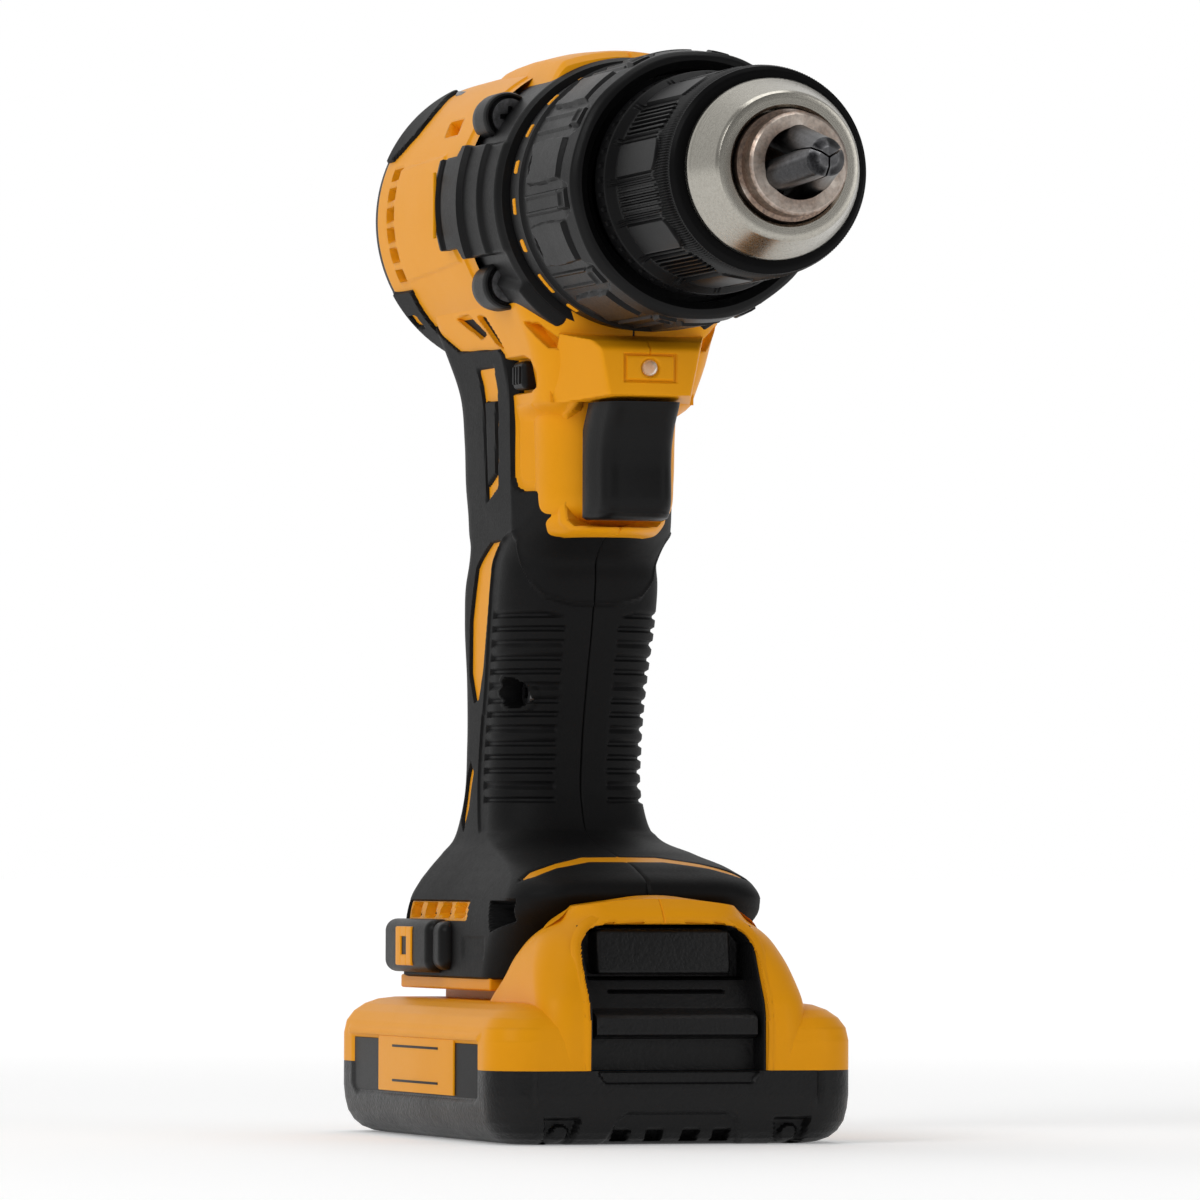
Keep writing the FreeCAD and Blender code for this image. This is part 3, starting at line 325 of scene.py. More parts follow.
def mixColour(tree, factor, a, b):
    node = tree.nodes.new("ShaderNodeMix")
    node.data_type = "RGBA"
    tree.links.new(factor, node.inputs[0])
    for socket, value in ((node.inputs[6], a), (node.inputs[7], b)):
        if isinstance(value, tuple):
            socket.default_value = (*value, 1)
        else:
            tree.links.new(value, socket)
    return node.outputs[2]


def mapRange(tree, value, fromSpan, toSpan=(0.0, 1.0), smooth=False):
    node = tree.nodes.new("ShaderNodeMapRange")
    if smooth:
        node.interpolation_type = "SMOOTHSTEP"
    for socket, level in zip(("From Min", "From Max", "To Min", "To Max"), (*fromSpan, *toSpan)):
        node.inputs[socket].default_value = level
    tree.links.new(value, node.inputs["Value"])
    return node.outputs["Result"]


def bumpNormal(tree, height, strength, distance):
    node = tree.nodes.new("ShaderNodeBump")
    node.inputs["Strength"].default_value = strength
    node.inputs["Distance"].default_value = distance
    tree.links.new(height, node.inputs["Height"])
    return node.outputs["Normal"]


def newMaterial(name):
    mat = bpy.data.materials.new(name)
    mat.use_nodes = True
    return mat, mat.node_tree, mat.node_tree.nodes["Principled BSDF"]


def groupNode(tree, group, settings):
    node = tree.nodes.new("ShaderNodeGroup")
    node.node_tree = group
    for socket, value in settings.items():
        node.inputs[socket].default_value = value
    return node


def mouldedMaterial(name, look):
    # moulded plastic or rubber: two-tone colour, worn edges, painted shade and dust in crevices, mould grain
    # and uneven sheen
    mat, tree, shader = newMaterial(name)
    grain = groupNode(tree, grainGroup, {"Grains per metre": look["grains"]})
    hand = groupNode(tree, handGroup, {"Edge gain": look.get("edgeGain", 6.0)})
    tone = mixColour(tree, hand.outputs["Patches"], look["colour"], look["shade"])
    worn = mixColour(tree, hand.outputs["Edge"], tone, look["edge"])
    # crevices take painted shade on the coloured plastics and dust on the blacks
    creviceShadeAndDust = mixColour(tree, hand.outputs["Crevice"], worn, look["crevice"])
    tree.links.new(creviceShadeAndDust, shader.inputs["Base Color"])
    sheen = mathNode(tree, "MULTIPLY", hand.outputs["Patches"], 0.5)
    sheen = mathNode(tree, "MULTIPLY_ADD", grain.outputs["Tone"], 0.5, sheen)
    tree.links.new(mapRange(tree, sheen, middleSpan, look["rough"]), shader.inputs["Roughness"])
    normal = bumpNormal(tree, grain.outputs["Height"], look["bump"], look.get("bumpHeight", 0.00008))
    tree.links.new(normal, shader.inputs["Normal"])
    shader.inputs["IOR"].default_value = 1.5
    shader.inputs["Specular IOR Level"].default_value = look.get("specular", 0.3)
    return mat


def metalMaterial(name, look):
    # metal with fine speckle and turning marks round the chuck axis
    mat, tree, shader = newMaterial(name)
    shader.inputs["Metallic"].default_value = look.get("metallic", 1.0)
    coord = tree.nodes.new("ShaderNodeTexCoord").outputs["Object"]
    place = tree.nodes.new("ShaderNodeMapping")
    place.inputs["Location"].default_value = (0, 0, -axisZ * mm)
    tree.links.new(coord, place.inputs["Vector"])
    speckle = noiseNode(tree, place.outputs["Vector"], look["speckle"], 4.0, 0.65)
    parts = tree.nodes.new("ShaderNodeSeparateXYZ")
    tree.links.new(place.outputs["Vector"], parts.inputs[0])
    yy = mathNode(tree, "MULTIPLY", parts.outputs[1], parts.outputs[1])
    radius = mathNode(tree, "SQRT", mathNode(tree, "MULTIPLY_ADD", parts.outputs[2], parts.outputs[2], yy))
    ringPlace = tree.nodes.new("ShaderNodeCombineXYZ")
    tree.links.new(mathNode(tree, "MULTIPLY", radius, look["turning"]), ringPlace.inputs[0])
    tree.links.new(mathNode(tree, "MULTIPLY", parts.outputs[0], look["turning"]), ringPlace.inputs[1])
    rings = noiseNode(tree, ringPlace.outputs[0], 1.0, 2.0, 0.5)
    hand = groupNode(tree, handGroup, {"Edge gain": 8.0})
    flecks = mapRange(tree, speckle, (0.38, 0.62))
    colour = mixColour(tree, flecks, look["colour"], look["fleck"])
    worn = mixColour(tree, hand.outputs["Edge"], colour, look["edge"])
    tree.links.new(worn, shader.inputs["Base Color"])
    mixed = mathNode(tree, "MULTIPLY_ADD", rings, 0.6, mathNode(tree, "MULTIPLY", speckle, 0.4))
    tree.links.new(mapRange(tree, mixed, middleSpan, look["rough"]), shader.inputs["Roughness"])
    tree.links.new(bumpNormal(tree, mixed, look["bump"], 0.00004), shader.inputs["Normal"])
    return mat


looks = {
    "yellow": {"colour": (0.90, 0.37, 0.006), "shade": (0.84, 0.33, 0.005), "edge": (0.92, 0.44, 0.02),
               "crevice": (0.46, 0.16, 0.008), "grains": 2600.0, "bump": 0.28, "rough": (0.34, 0.46),
               "edgeGain": 3.0, "specular": 0.1},
    "blackPlastic": {"colour": (0.0035, 0.0035, 0.0037), "shade": (0.006, 0.006, 0.0063),
                     "edge": (0.035, 0.035, 0.037),
                     "crevice": (0.006, 0.006, 0.006), "grains": 2400.0, "bump": 0.5, "rough": (0.34, 0.52),
                     "specular": 0.16},
    "blackRubber": {"colour": (0.004, 0.004, 0.0042), "shade": (0.0065, 0.0065, 0.0068),
                    "edge": (0.03, 0.03, 0.032),
                    "crevice": (0.007, 0.007, 0.007), "grains": 1900.0, "bump": 0.6, "rough": (0.5, 0.66),
                    "specular": 0.13},
    "coarseBlack": {"colour": (0.003, 0.003, 0.0032), "shade": (0.008, 0.008, 0.0085),
                    "edge": (0.03, 0.03, 0.032),
                    "crevice": (0.005, 0.005, 0.005), "grains": 1300.0, "bump": 1.0, "rough": (0.28, 0.5),
                    "bumpHeight": 0.00018, "specular": 0.25},
    "glossBlack": {"colour": (0.003, 0.003, 0.0032), "shade": (0.005, 0.005, 0.0053),
                   "edge": (0.02, 0.02, 0.021),
                   "crevice": (0.005, 0.005, 0.005), "grains": 3200.0, "bump": 0.15, "rough": (0.3, 0.4),
                   "specular": 0.06},
}
plastics = {key: mouldedMaterial(key, look) for key, look in looks.items()}
metalLooks = {
    "satinNickel": {"colour": (0.46, 0.44, 0.39), "fleck": (0.40, 0.38, 0.335), "edge": (0.75, 0.73, 0.68),
                    "speckle": 1800.0, "turning": 9000.0, "bump": 0.2, "rough": (0.2, 0.32)},
    "noseBronze": {"colour": (0.33, 0.235, 0.18), "fleck": (0.16, 0.12, 0.10), "edge": (0.7, 0.62, 0.55),
                   "speckle": 1500.0, "turning": 6000.0, "bump": 0.5, "rough": (0.28, 0.45)},
    "blackOxide": {"colour": (0.03, 0.03, 0.032), "fleck": (0.012, 0.012, 0.013), "edge": (0.3, 0.3, 0.31),
                   "speckle": 2500.0, "turning": 7000.0, "bump": 0.4, "rough": (0.25, 0.4)},
    "steel": {"colour": (0.55, 0.55, 0.55), "fleck": (0.42, 0.42, 0.42), "edge": (0.8, 0.8, 0.8),
              "speckle": 1500.0, "turning": 6000.0, "bump": 0.3, "rough": (0.25, 0.4)},
    "sinteredSteel": {"colour": (0.30, 0.30, 0.31), "fleck": (0.18, 0.18, 0.19), "edge": (0.6, 0.6, 0.6),
                      "speckle": 2200.0, "turning": 5000.0, "bump": 0.5, "rough": (0.35, 0.5)},
    "copper": {"colour": (0.62, 0.28, 0.14), "fleck": (0.45, 0.18, 0.09), "edge": (0.8, 0.5, 0.3),
               "speckle": 2200.0, "turning": 5000.0, "bump": 0.4, "rough": (0.25, 0.4)},
    "brass": {"colour": (0.60, 0.42, 0.16), "fleck": (0.45, 0.30, 0.11), "edge": (0.8, 0.65, 0.35),
              "speckle": 2000.0, "turning": 7000.0, "bump": 0.3, "rough": (0.25, 0.4)},
    "ferrite": {"colour": (0.05, 0.05, 0.055), "fleck": (0.03, 0.03, 0.03), "edge": (0.15, 0.15, 0.16),
                "metallic": 0.3,
                "speckle": 2500.0, "turning": 5000.0, "bump": 0.5, "rough": (0.5, 0.7)},
}
metals = {key: metalMaterial(key, look) for key, look in metalLooks.items()}
plastics["boardGreen"] = mouldedMaterial("boardGreen", {
    "colour": (0.02, 0.12, 0.04), "shade": (0.03, 0.16, 0.06), "edge": (0.3, 0.25, 0.12),
    "crevice": (0.01, 0.05, 0.02), "grains": 900.0, "bump": 0.3, "rough": (0.25, 0.4)})
plastics["cellWrap"] = mouldedMaterial("cellWrap", {
    "colour": (0.03, 0.16, 0.34), "shade": (0.04, 0.2, 0.4), "edge": (0.1, 0.3, 0.5),
    "crevice": (0.01, 0.06, 0.15), "grains": 900.0, "bump": 0.1, "rough": (0.2, 0.32)})


def lensMaterial():
    mat, tree, shader = newMaterial("clearLens")
    coord = tree.nodes.new("ShaderNodeTexCoord").outputs["Object"]
    frost = noiseNode(tree, coord, 1200.0)
    tree.links.new(mixColour(tree, frost, (0.86, 0.84, 0.72), (0.95, 0.94, 0.88)),
                   shader.inputs["Base Color"])
    tree.links.new(mathNode(tree, "MULTIPLY", frost, 0.2), shader.inputs["Roughness"])
    shader.inputs["Transmission Weight"].default_value = 0.7
    shader.inputs["IOR"].default_value = 1.49
    return mat


plastics["lens"] = lensMaterial()

slotMaterial = {
    "yellow_plastic": plastics["yellow"], "black_plastic": plastics["blackPlastic"],
    "black_rubber": plastics["blackRubber"], "satin_nickel": metals["satinNickel"],
    "nose_steel": metals["noseBronze"], "black_oxide": metals["blackOxide"], "steel": metals["steel"],
    "gear_steel": metals["sinteredSteel"], "copper": metals["copper"], "brass": metals["brass"],
    "magnet": metals["ferrite"], "screw_black": metals["blackOxide"], "lens": plastics["lens"],
    "board_green": plastics["boardGreen"], "cell_wrap": plastics["cellWrap"],
}
for row in frame["record"]["subparts"]:
    cadObject = frame["nodes"][row["node"]]
    cadObject.data.materials.clear()
    cadObject.data.materials.append(slotMaterial[row["material_slot"]])
print("materials made:", len(bpy.data.materials))

# clutch collar: a turned grid whose radius is shaped round the axis

collar = {"steps": 600, "pads": 10, "firstLug": -6.5}


def folded(angle, centre, period):
    # signed distance in degrees to the nearest repeat of centre
    return (angle - centre + period / 2) % period - period / 2


def shapedCollar():
    xs, rs = denseProfile([(27.0, 22.4), (27.0, 26.6), (27.6, 27.2), (35.0, 27.35), (35.6, 27.9),
                           (62.5, 27.9),
                           (67.8, 27.2), (68.8, 26.2), (69.0, 25.2), (67.6, 23.6), (60.0, 23.2),
                           (60.0, 20.2)], 0.42)
    pts = turnedPoints(xs, rs, collar["steps"])
    turn = turnDegrees(collar["steps"])
    period = 360 / collar["pads"]
    fromLug = np.abs(folded(turn, collar["firstLug"], period))
    fromPad = np.abs(folded(turn, collar["firstLug"] + period / 2, period))
    x = xs[:, None]
    outer = (np.arange(len(xs)) < np.argmax(xs > 68.9))[:, None]
    rise = np.zeros((len(xs), collar["steps"]))
    grip = smoothStep(35.6, 36.4, x)
    # the grip zone is sunk between the smooth rear band and the front skirt
    skirtLine = 63.0 + 3.0 * (1 - smoothStep(5.0, 8.5, fromLug))
    skirt = smoothStep(-0.4, 0.4, x - skirtLine)
    rise += -0.75 * grip * (1 - skirt)
    # wide pads with softly squared corners
    padX = smoothStep(40.0, 41.0, x) * (1 - smoothStep(60.4, 61.4, x))
    padSide = 1 - smoothStep(9.2, 10.4, fromPad + 0.09 * np.abs(x - 50))
    rise += 1.0 * padX * padSide * (1 - skirt)
    # an oval pit at the rear of every pad
    pit = ((x - 40.6) / 2.1) ** 2 + (fromPad / 6.0) ** 2
    rise += -1.3 * (1 - smoothStep(0.75, 1.1, pit)) * outer
    # two thin ribs on either side of each lug, and the lug itself
    for offset in (-3.6, 3.6):
        rib = 1 - smoothStep(0.5, 0.9, np.abs(folded(turn, collar["firstLug"] + offset, period)))
        rise += 0.55 * rib * smoothStep(38.4, 39.0, x) * (1 - smoothStep(59.6, 60.2, x))
    lug = (1 - smoothStep(3.9, 4.6, fromLug)) * smoothStep(61.0, 61.6, x) * (1 - smoothStep(65.2, 65.8, x))
    dip = (1 - smoothStep(2.4, 3.0, fromLug)) * smoothStep(62.2, 62.7, x) * (1 - smoothStep(64.2, 64.7, x))
    rise += (1.1 * lug - 0.35 * dip) * (1 - skirt)
    # shallow hand wear across the front skirt
    rise += 0.12 * skirt * np.cos(np.radians(turn * collar["pads"]))
    rise *= outer
    pushOut(pts, rise, turn)
    piece = Surface().grid(pts, closeV=True, flip=True)
    return piece.build("torqueCollar", "collar", plastics["blackPlastic"], 42.0, ["torque_collar"],
                       "black_plastic")


def collarMarks():
    # raised index marks on the number ring, a different count of strokes at each stop
    spots = [(28.8, 1), (11.9, 0), (-5.3, 2), (-22.7, 0), (-41.8, 3), (-57.6, 0)]
    spots += [(28.8 + 17.3 * k, k % 2) for k in range(1, 5)]
    marks = Surface()
    for spot, kind in spots:
        strokes = [0.0] if kind == 0 else [(k - (kind - 1) / 2) * 2.6 for k in range(kind)]
        if kind == 1:
            strokes = [-1.0, 1.0]
        for shift in strokes:
            halfLength, halfWidth = (1.7, 0.55) if kind == 0 else (1.5, 0.42)
            u = np.linspace(-1, 1, 9)[:, None]
            v = np.linspace(-1, 1, 7)[None, :]
            across = u * np.sqrt(np.clip(1 - 0.35 * v ** 2, 0, 1))
            x = 30.6 + v * halfWidth * 2.2 + 0 * u
            angle = np.radians(spot + shift * 1.3 + across * halfLength * 2.05 / (1 if kind == 0 else 1.4))
            height = 27.32 + 0.16 * np.clip(3.5 * (1 - np.maximum(np.abs(u), np.abs(v))), 0, 1)
            radius = height - 0.3 * ((np.abs(u) >= 1) | (np.abs(v) >= 1))
            marks.grid(np.stack([x, -radius * np.cos(angle), axisZ + radius * np.sin(angle)], axis=-1),
                       flip=True)
    return marks.build("collarMarks", "collar", plastics["yellow"], 40.0, (), "yellow_plastic")


shapedCollar()
collarMarks()

# chuck sleeve: ribbed and smooth panels with a fine knurl at the front

sleeve = {"steps": 960, "panels": 16, "firstPanel": 9.0}


def shapedSleeve():
    xs, rs = denseProfile([(69.4, 19.3), (69.4, 22.2), (70.0, 22.7), (75.4, 22.6), (78.2, 21.0),
                           (107.4, 20.9),
                           (110.5, 20.6), (111.3, 19.6), (111.3, 17.6)], 0.4)
    steps = sleeve["steps"]
    pts = turnedPoints(xs, rs, steps)
    turn = turnDegrees(steps)
    period = 360 / sleeve["panels"]
    x = xs[:, None]
    outer = ((rs > 20.0) & (xs > 70.2) & (xs < 110.9))[:, None]
    fromPanel = folded(turn, sleeve["firstPanel"], period)
    index = np.floor((turn - sleeve["firstPanel"] + period / 2) / period).astype(int) % 2
    # panel fronts bulge forward in the middle, where the knurl stops short of them
    frontLine = 103.6 - 3.4 * (np.abs(fromPanel) / (period / 2)) ** 3
    inside = smoothStep(79.0, 79.8, x) * (1 - smoothStep(-0.5, 0.3, x - frontLine))
    side = 1 - smoothStep(8.6, 9.4, np.abs(fromPanel))
    rise = np.where(index == 0, 0.55, -0.35) * inside * side
    ribs = 0.5 + 0.5 * np.cos(np.radians(fromPanel * 360 / 2.9))
    rise = rise + (index == 1) * inside * side * 0.75 * smoothStep(0.35, 0.75, ribs)
    # seam lines between panels
    gap = 1 - smoothStep(0.35, 0.8, np.abs(np.abs(fromPanel) - 10.2))
    rise = rise - 0.4 * gap * smoothStep(76.0, 77.0, x) * (1 - smoothStep(99.5, 100.5, x))
    # fine knurl teeth, 1.5 degrees apart
    teeth = np.abs(folded(turn, 0.0, 1.5)) / 0.75
    knurl = smoothStep(-0.6, 0.4, x - frontLine - 0.4) * (1 - smoothStep(109.6, 110.4, x))
    rise = rise + knurl * (0.34 * (1 - teeth) - 0.1)
    # a few grip notches round the rear band
    rearBand = smoothStep(71.4, 72.0, x) * (1 - smoothStep(74.0, 74.6, x))
    rise = rise - 0.3 * rearBand * (1 - smoothStep(1.0, 1.6, np.abs(folded(turn, 0.0, 7.5))))
    rise = np.where(outer, rise, 0)
    pushOut(pts, rise, turn)
    piece = Surface().grid(pts, closeV=True, flip=True)
    return piece.build("chuckSleeve", "sleeve", plastics["glossBlack"], 40.0, ["chuck_sleeve"],
                       "black_plastic")


def bevelRing():
    xs, rs = denseProfile([(111.9, 11.6), (111.9, 17.6), (112.3, 18.0), (113.9, 18.0), (114.5, 17.7),
                           (122.2, 14.85),
                           (122.7, 14.4), (122.8, 13.9), (122.8, 12.1), (122.3, 11.6)], 0.5)
    ring = Surface().grid(turnedPoints(xs, rs, 256), closeU=True, closeV=True, flip=True)
    return ring.build("chuckBevelRing", "sleeve", metals["satinNickel"], 30.0, ["chuck_bevel_ring"],
                      "satin_nickel")


shapedSleeve()
bevelRing()
print("chuck pieces made")


# handle, head and foot: one half as a grid over (height row, distance round the section), mirrored for the
# other

def edgeDistance(px, pz, corners):
    # signed distance in mm to a closed polygon, positive inside
    px = np.asarray(px, float)
    pz = np.asarray(pz, float)
    best = np.full(px.shape, 1e9)
    inside = np.zeros(px.shape, bool)
    ring = list(corners)
    for (x0, z0), (x1, z1) in zip(ring, ring[1:] + ring[:1]):
        dx, dz = x1 - x0, z1 - z0
        t = np.clip(((px - x0) * dx + (pz - z0) * dz) / (dx * dx + dz * dz + 1e-12), 0, 1)
        best = np.minimum(best, np.hypot(px - x0 - t * dx, pz - z0 - t * dz))
        crosses = (z0 > pz) != (z1 > pz)
        at = x0 + (pz - z0) * dx / (dz if abs(dz) > 1e-9 else 1e-9)
        inside ^= crosses & (px < at)
    return np.where(inside, best, -best)


def sectionRows(knots, rows, samples):
    # half sections from the front centre to the rear centre, as (row, sample, xyz) with outward normals
    knots = np.array(knots, float)
    along = np.concatenate([[0], np.cumsum(np.hypot(np.diff(knots[:, 0]), 0.5 * np.diff(knots[:, 1])))])
    t = np.linspace(0, along[-1], rows)
    z, front, rear, half, corner = (curveThrough(along, knots[:, k], t)[:, None] for k in range(5))
    parts = []
    normals = []
    u = np.linspace(0, 1, samples[0], endpoint=False)[None, :]
    parts.append((front + 0 * u, -(half - corner) * u))
    normals.append((1 + 0 * u + 0 * z, 0 * u + 0 * z))
    u = np.linspace(0, 1, samples[1], endpoint=False)[None, :] * np.pi / 2
    parts.append((front - corner + corner * np.cos(u), -(half - corner) - corner * np.sin(u)))
    normals.append((np.cos(u) + 0 * z, -np.sin(u) + 0 * z))
    u = np.linspace(0, 1, samples[2], endpoint=False)[None, :]
    parts.append((front - corner + (rear + 2 * corner - front) * u, -half + 0 * u))
    normals.append((0 * u + 0 * z, -1 + 0 * u + 0 * z))
    u = np.linspace(0, 1, samples[3], endpoint=False)[None, :] * np.pi / 2
    parts.append((rear + corner - corner * np.sin(u), -(half - corner) - corner * np.cos(u)))
    normals.append((-np.sin(u) + 0 * z, -np.cos(u) + 0 * z))
    u = np.linspace(1, 0, samples[4])[None, :]
    parts.append((rear + 0 * u, -(half - corner) * u))
    normals.append((-1 + 0 * u + 0 * z, 0 * u + 0 * z))
    x = np.concatenate([p[0] for p in parts], axis=1)
    y = np.concatenate([p[1] for p in parts], axis=1)
    pts = np.stack([x, y, z + 0 * x], axis=-1)
    flat = np.concatenate([np.stack([n[0], n[1], 0 * n[0]], axis=-1) for n in normals], axis=1)
    steps = np.hypot(np.diff(x, axis=1), np.diff(y, axis=1))
    ring = np.concatenate([np.zeros((rows, 1)), np.cumsum(steps, axis=1)], axis=1)
    return pts, flat, ring


def narrowed(pts):
    # the head draws in toward the trigger, less so where it meets the light nose
    x, z = pts[..., 0], pts[..., 2]
    draw = 0.019 * np.clip(x + 1.0, 0, None) * smoothStep(119.0, 126.0, z) * (1 - smoothStep(148.5, 152.5, z))
    out = pts.copy()
    out[..., 1] *= 1 - draw
    return out


def seamDip(y, depth=0.5, width=0.28):
    # the two halves meet in a fine groove on the centre plane
    return -depth * (1 - smoothStep(0.0, width, np.abs(y)))


gripKnots = [(33.4, 22.5, -48.5, 28.5, 9.0), (38.5, 25.5, -48.5, 28.5, 9.5), (44.0, 30.5, -48.5, 28.4, 10.0),
             (48.0, 35.6, -48.4, 27.9, 10.5), (50.5, 37.4, -48.3, 27.2, 11.0),
             (52.8, 36.6, -48.1, 26.0, 11.5),
             (55.6, 30.0, -48.0, 24.0, 12.0), (59.0, 14.0, -47.8, 21.2, 12.4),
             (63.0, -2.6, -47.3, 18.4, 12.6),
             (70.0, -6.6, -45.6, 17.2, 12.6), (82.0, -6.3, -44.3, 16.9, 12.6),
             (95.0, -3.2, -44.2, 17.0, 12.6),
             (108.0, 0.4, -44.2, 17.6, 12.8), (116.0, 1.9, -43.4, 17.6, 12.8),
             (120.0, 2.2, -42.4, 17.2, 12.6),
             (123.6, 6.2, -42.2, 17.0, 12.8), (126.6, 12.6, -42.3, 17.4, 13.2),
             (131.0, 19.8, -42.8, 17.6, 13.6),
             (136.0, 20.6, -43.8, 17.8, 13.8), (146.0, 20.8, -44.4, 18.0, 13.8),
             (156.0, 20.8, -45.4, 18.5, 13.0),
             (164.0, 20.8, -48.0, 20.2, 12.0), (171.5, 20.8, -50.5, 22.6, 12.0)]
yellowSide = [(-0.6, 163.0), (-0.6, 137.4), (0.6, 135.2), (3.2, 134.3), (11.8, 134.2), (14.0, 132.8),
              (15.6, 129.8),
              (16.6, 127.2), (17.4, 125.2), (60.0, 124.9), (60.0, 175.0), (-2.0, 175.0), (-5.6, 165.2),
              (-3.0, 164.6)]
strapInsert = [(-19.4, 160.6), (-8.4, 160.6), (-9.8, 135.8), (-17.9, 132.8)]
strapInset = [(-17.9, 154.0), (-10.6, 153.6), (-11.4, 138.4), (-17.2, 136.0)]
longStrip = [(29.5, 124.4), (30.0, 112.6), (31.2, 98.0), (33.0, 91.6), (36.0, 91.0), (40.5, 97.0),
             (42.0, 108.0),
             (40.0, 119.0), (35.6, 124.2)]
lowStrip = [(33.5, 76.0), (36.8, 68.5), (40.8, 63.8), (41.8, 66.0), (38.6, 74.0), (35.6, 78.0)]
topStripe = [(-3.0, 57.2), (8.0, 57.2), (17.0, 55.9), (24.0, 54.1), (29.0, 53.2), (24.4, 55.0),
             (16.0, 56.9), (8.0, 58.2),
             (-3.0, 58.3)]
footHoles = [[(18.0, 48.8), (30.5, 49.2), (28.4, 45.2), (20.0, 43.2)]]
rackPlate = [(-41.4, 48.9), (2.6, 48.9), (2.6, 45.0), (-41.4, 45.0)]
rackWindows = [[(x, 48.2), (x + 6.4, 48.2), (x + 6.4, 45.7), (x, 45.7)] for x in (-38.6, -28.2, -17.8, -7.4)]
plainPlate = [(0.7, 41.6), (15.6, 41.6), (15.6, 37.4), (0.7, 37.4)]
boreSpots = [(-9.5, 92.6), (-34.0, 136.0)]


def gripBorder(along):
    # height of the grip panel's upper border at a distance round from the front centre
    return np.interp(along, [0, 4.5, 5.8, 10.8, 14.5, 17.0, 20.0, 24.0, 27.0, 29.0],
                     [110.6, 110.7, 110.9, 112.2, 115.6, 120.0, 123.8, 125.4, 125.0, 123.5])


def gripRelief(x, z, along):
    # raised border, ribs and holes of the rubber grip, in mm outward
    rise = np.zeros(x.shape)
    edge = np.where(along < 29.0, gripBorder(along), 123.5 - (along - 29.0) * 40)
    panel = smoothStep(-0.5, 0.1, edge - z) * (1 - smoothStep(29.0, 29.6, along + 0 * z) * (z > 88))
    panel = panel * smoothStep(63.0, 63.8, z) * (1 - smoothStep(29.8, 30.4, along))
    rise = rise - 0.42 * panel
    # fine lip along the border
    rise = rise + 0.25 * (1 - smoothStep(0.25, 0.7, np.abs(z - edge - 0.5))) * (along < 28.5)
    # horizontal grooves 2.97 mm apart on the flanks, stopping short of the front band
    row = np.abs((z - 70.3 + 1.485) % 2.97 - 1.485)
    rows = (z > 69.2) & (z < 110.0)
    start = smoothStep(5.4, 6.2, along)
    reach = start * (1 - smoothStep(26.8, 27.6, along)) * smoothStep(0.0, 1.0, edge - z - 2.2)
    rise = rise - 0.75 * (1 - smoothStep(0.32, 0.72, row)) * rows * reach
    return rise


def handleHalf(spots):
    pts, normal, along = sectionRows(gripKnots, 330, (24, 60, 66, 56, 22))
    pts = narrowed(pts)
    x, y, z = pts[..., 0], pts[..., 1], pts[..., 2]
    rise = gripRelief(x, z, along) * (z < 128) + seamDip(y)
    # rubber stops where the yellow shells show, by diving under them
    sink = np.zeros(x.shape)
    upper = z > 121
    shown = edgeDistance(x, z, yellowSide)
    sink = np.maximum(sink, upper * smoothStep(-0.25, 0.35, shown))
    top = np.interp(x, [-60, -46, -42, -33, -29, -4.8, 60], [172, 172, 170.5, 166.6, 165.0, 164.2, 164.2])
    sink = np.maximum(sink, smoothStep(-0.25, 0.35, z - top))
    side = (np.abs(normal[..., 1]) > 0.55)
    insert = np.minimum(edgeDistance(x, z, strapInsert), -edgeDistance(x, z, strapInset))
    sink = np.maximum(sink, side * smoothStep(-0.2, 0.3, insert))
    for strip in (longStrip, lowStrip, topStripe):
        sink = np.maximum(sink, smoothStep(-0.2, 0.3, edgeDistance(along, z, strip)))
    sink = np.maximum(sink, side * smoothStep(-0.2, 0.3, edgeDistance(x, z, rackPlate)))
    rise = rise - 1.5 * sink
    rise = rise - 4.0 * side * smoothStep(0.9, 1.7, shown)
    rise = rise - 4.0 * side * smoothStep(0.0, 0.6, edgeDistance(x, z, rackPlate))
    rise = rise - 15.0 * (x > 10) * (np.abs(y) < 12.5) * smoothStep(124.6, 126.2, z)
    rise = rise - 0.35 * side * smoothStep(-0.2, 0.3, edgeDistance(x, z, plainPlate))
    holes = np.zeros(x.shape)
    for hole in footHoles:
        holes = np.maximum(holes, smoothStep(-0.4, 0.8, edgeDistance(x, z, hole)) * (y < -20))
    for spotX, spotZ in spots:
        near = np.hypot(x - spotX, z - spotZ)
        holes = np.maximum(holes, (1 - smoothStep(2.6, 3.2, near)) * (y < -8) * (z < 128))
        rise = rise + 0.35 * (1 - smoothStep(0.3, 0.9, np.abs(near - 3.6))) * (y < -8) * (z < 128)
    rise = rise - 6.5 * holes
    shell = pts + normal * rise[..., None]
    rubber = Surface()
    rim = shell[0]
    inner = []
    for inset, level in ((0.8, 33.0), (2.8, 33.0), (3.0, 34.0), (3.0, 46.5)):
        ring = rim - normal[0] * inset
        ring[:, 2] = level
        inner.append(ring)
    cavity = np.stack(inner[::-1])
    cavity[..., 1] = np.where(np.abs(y[0]) < 0.5, 0.0, cavity[..., 1])
    rubber.grid(np.concatenate([cavity, shell]), flip=True)
    ceiling = cavity[0]
    middle = ceiling.copy()
    middle[:, 1] = 0
    rubber.grid(np.stack([ceiling, middle]))
    return rubber


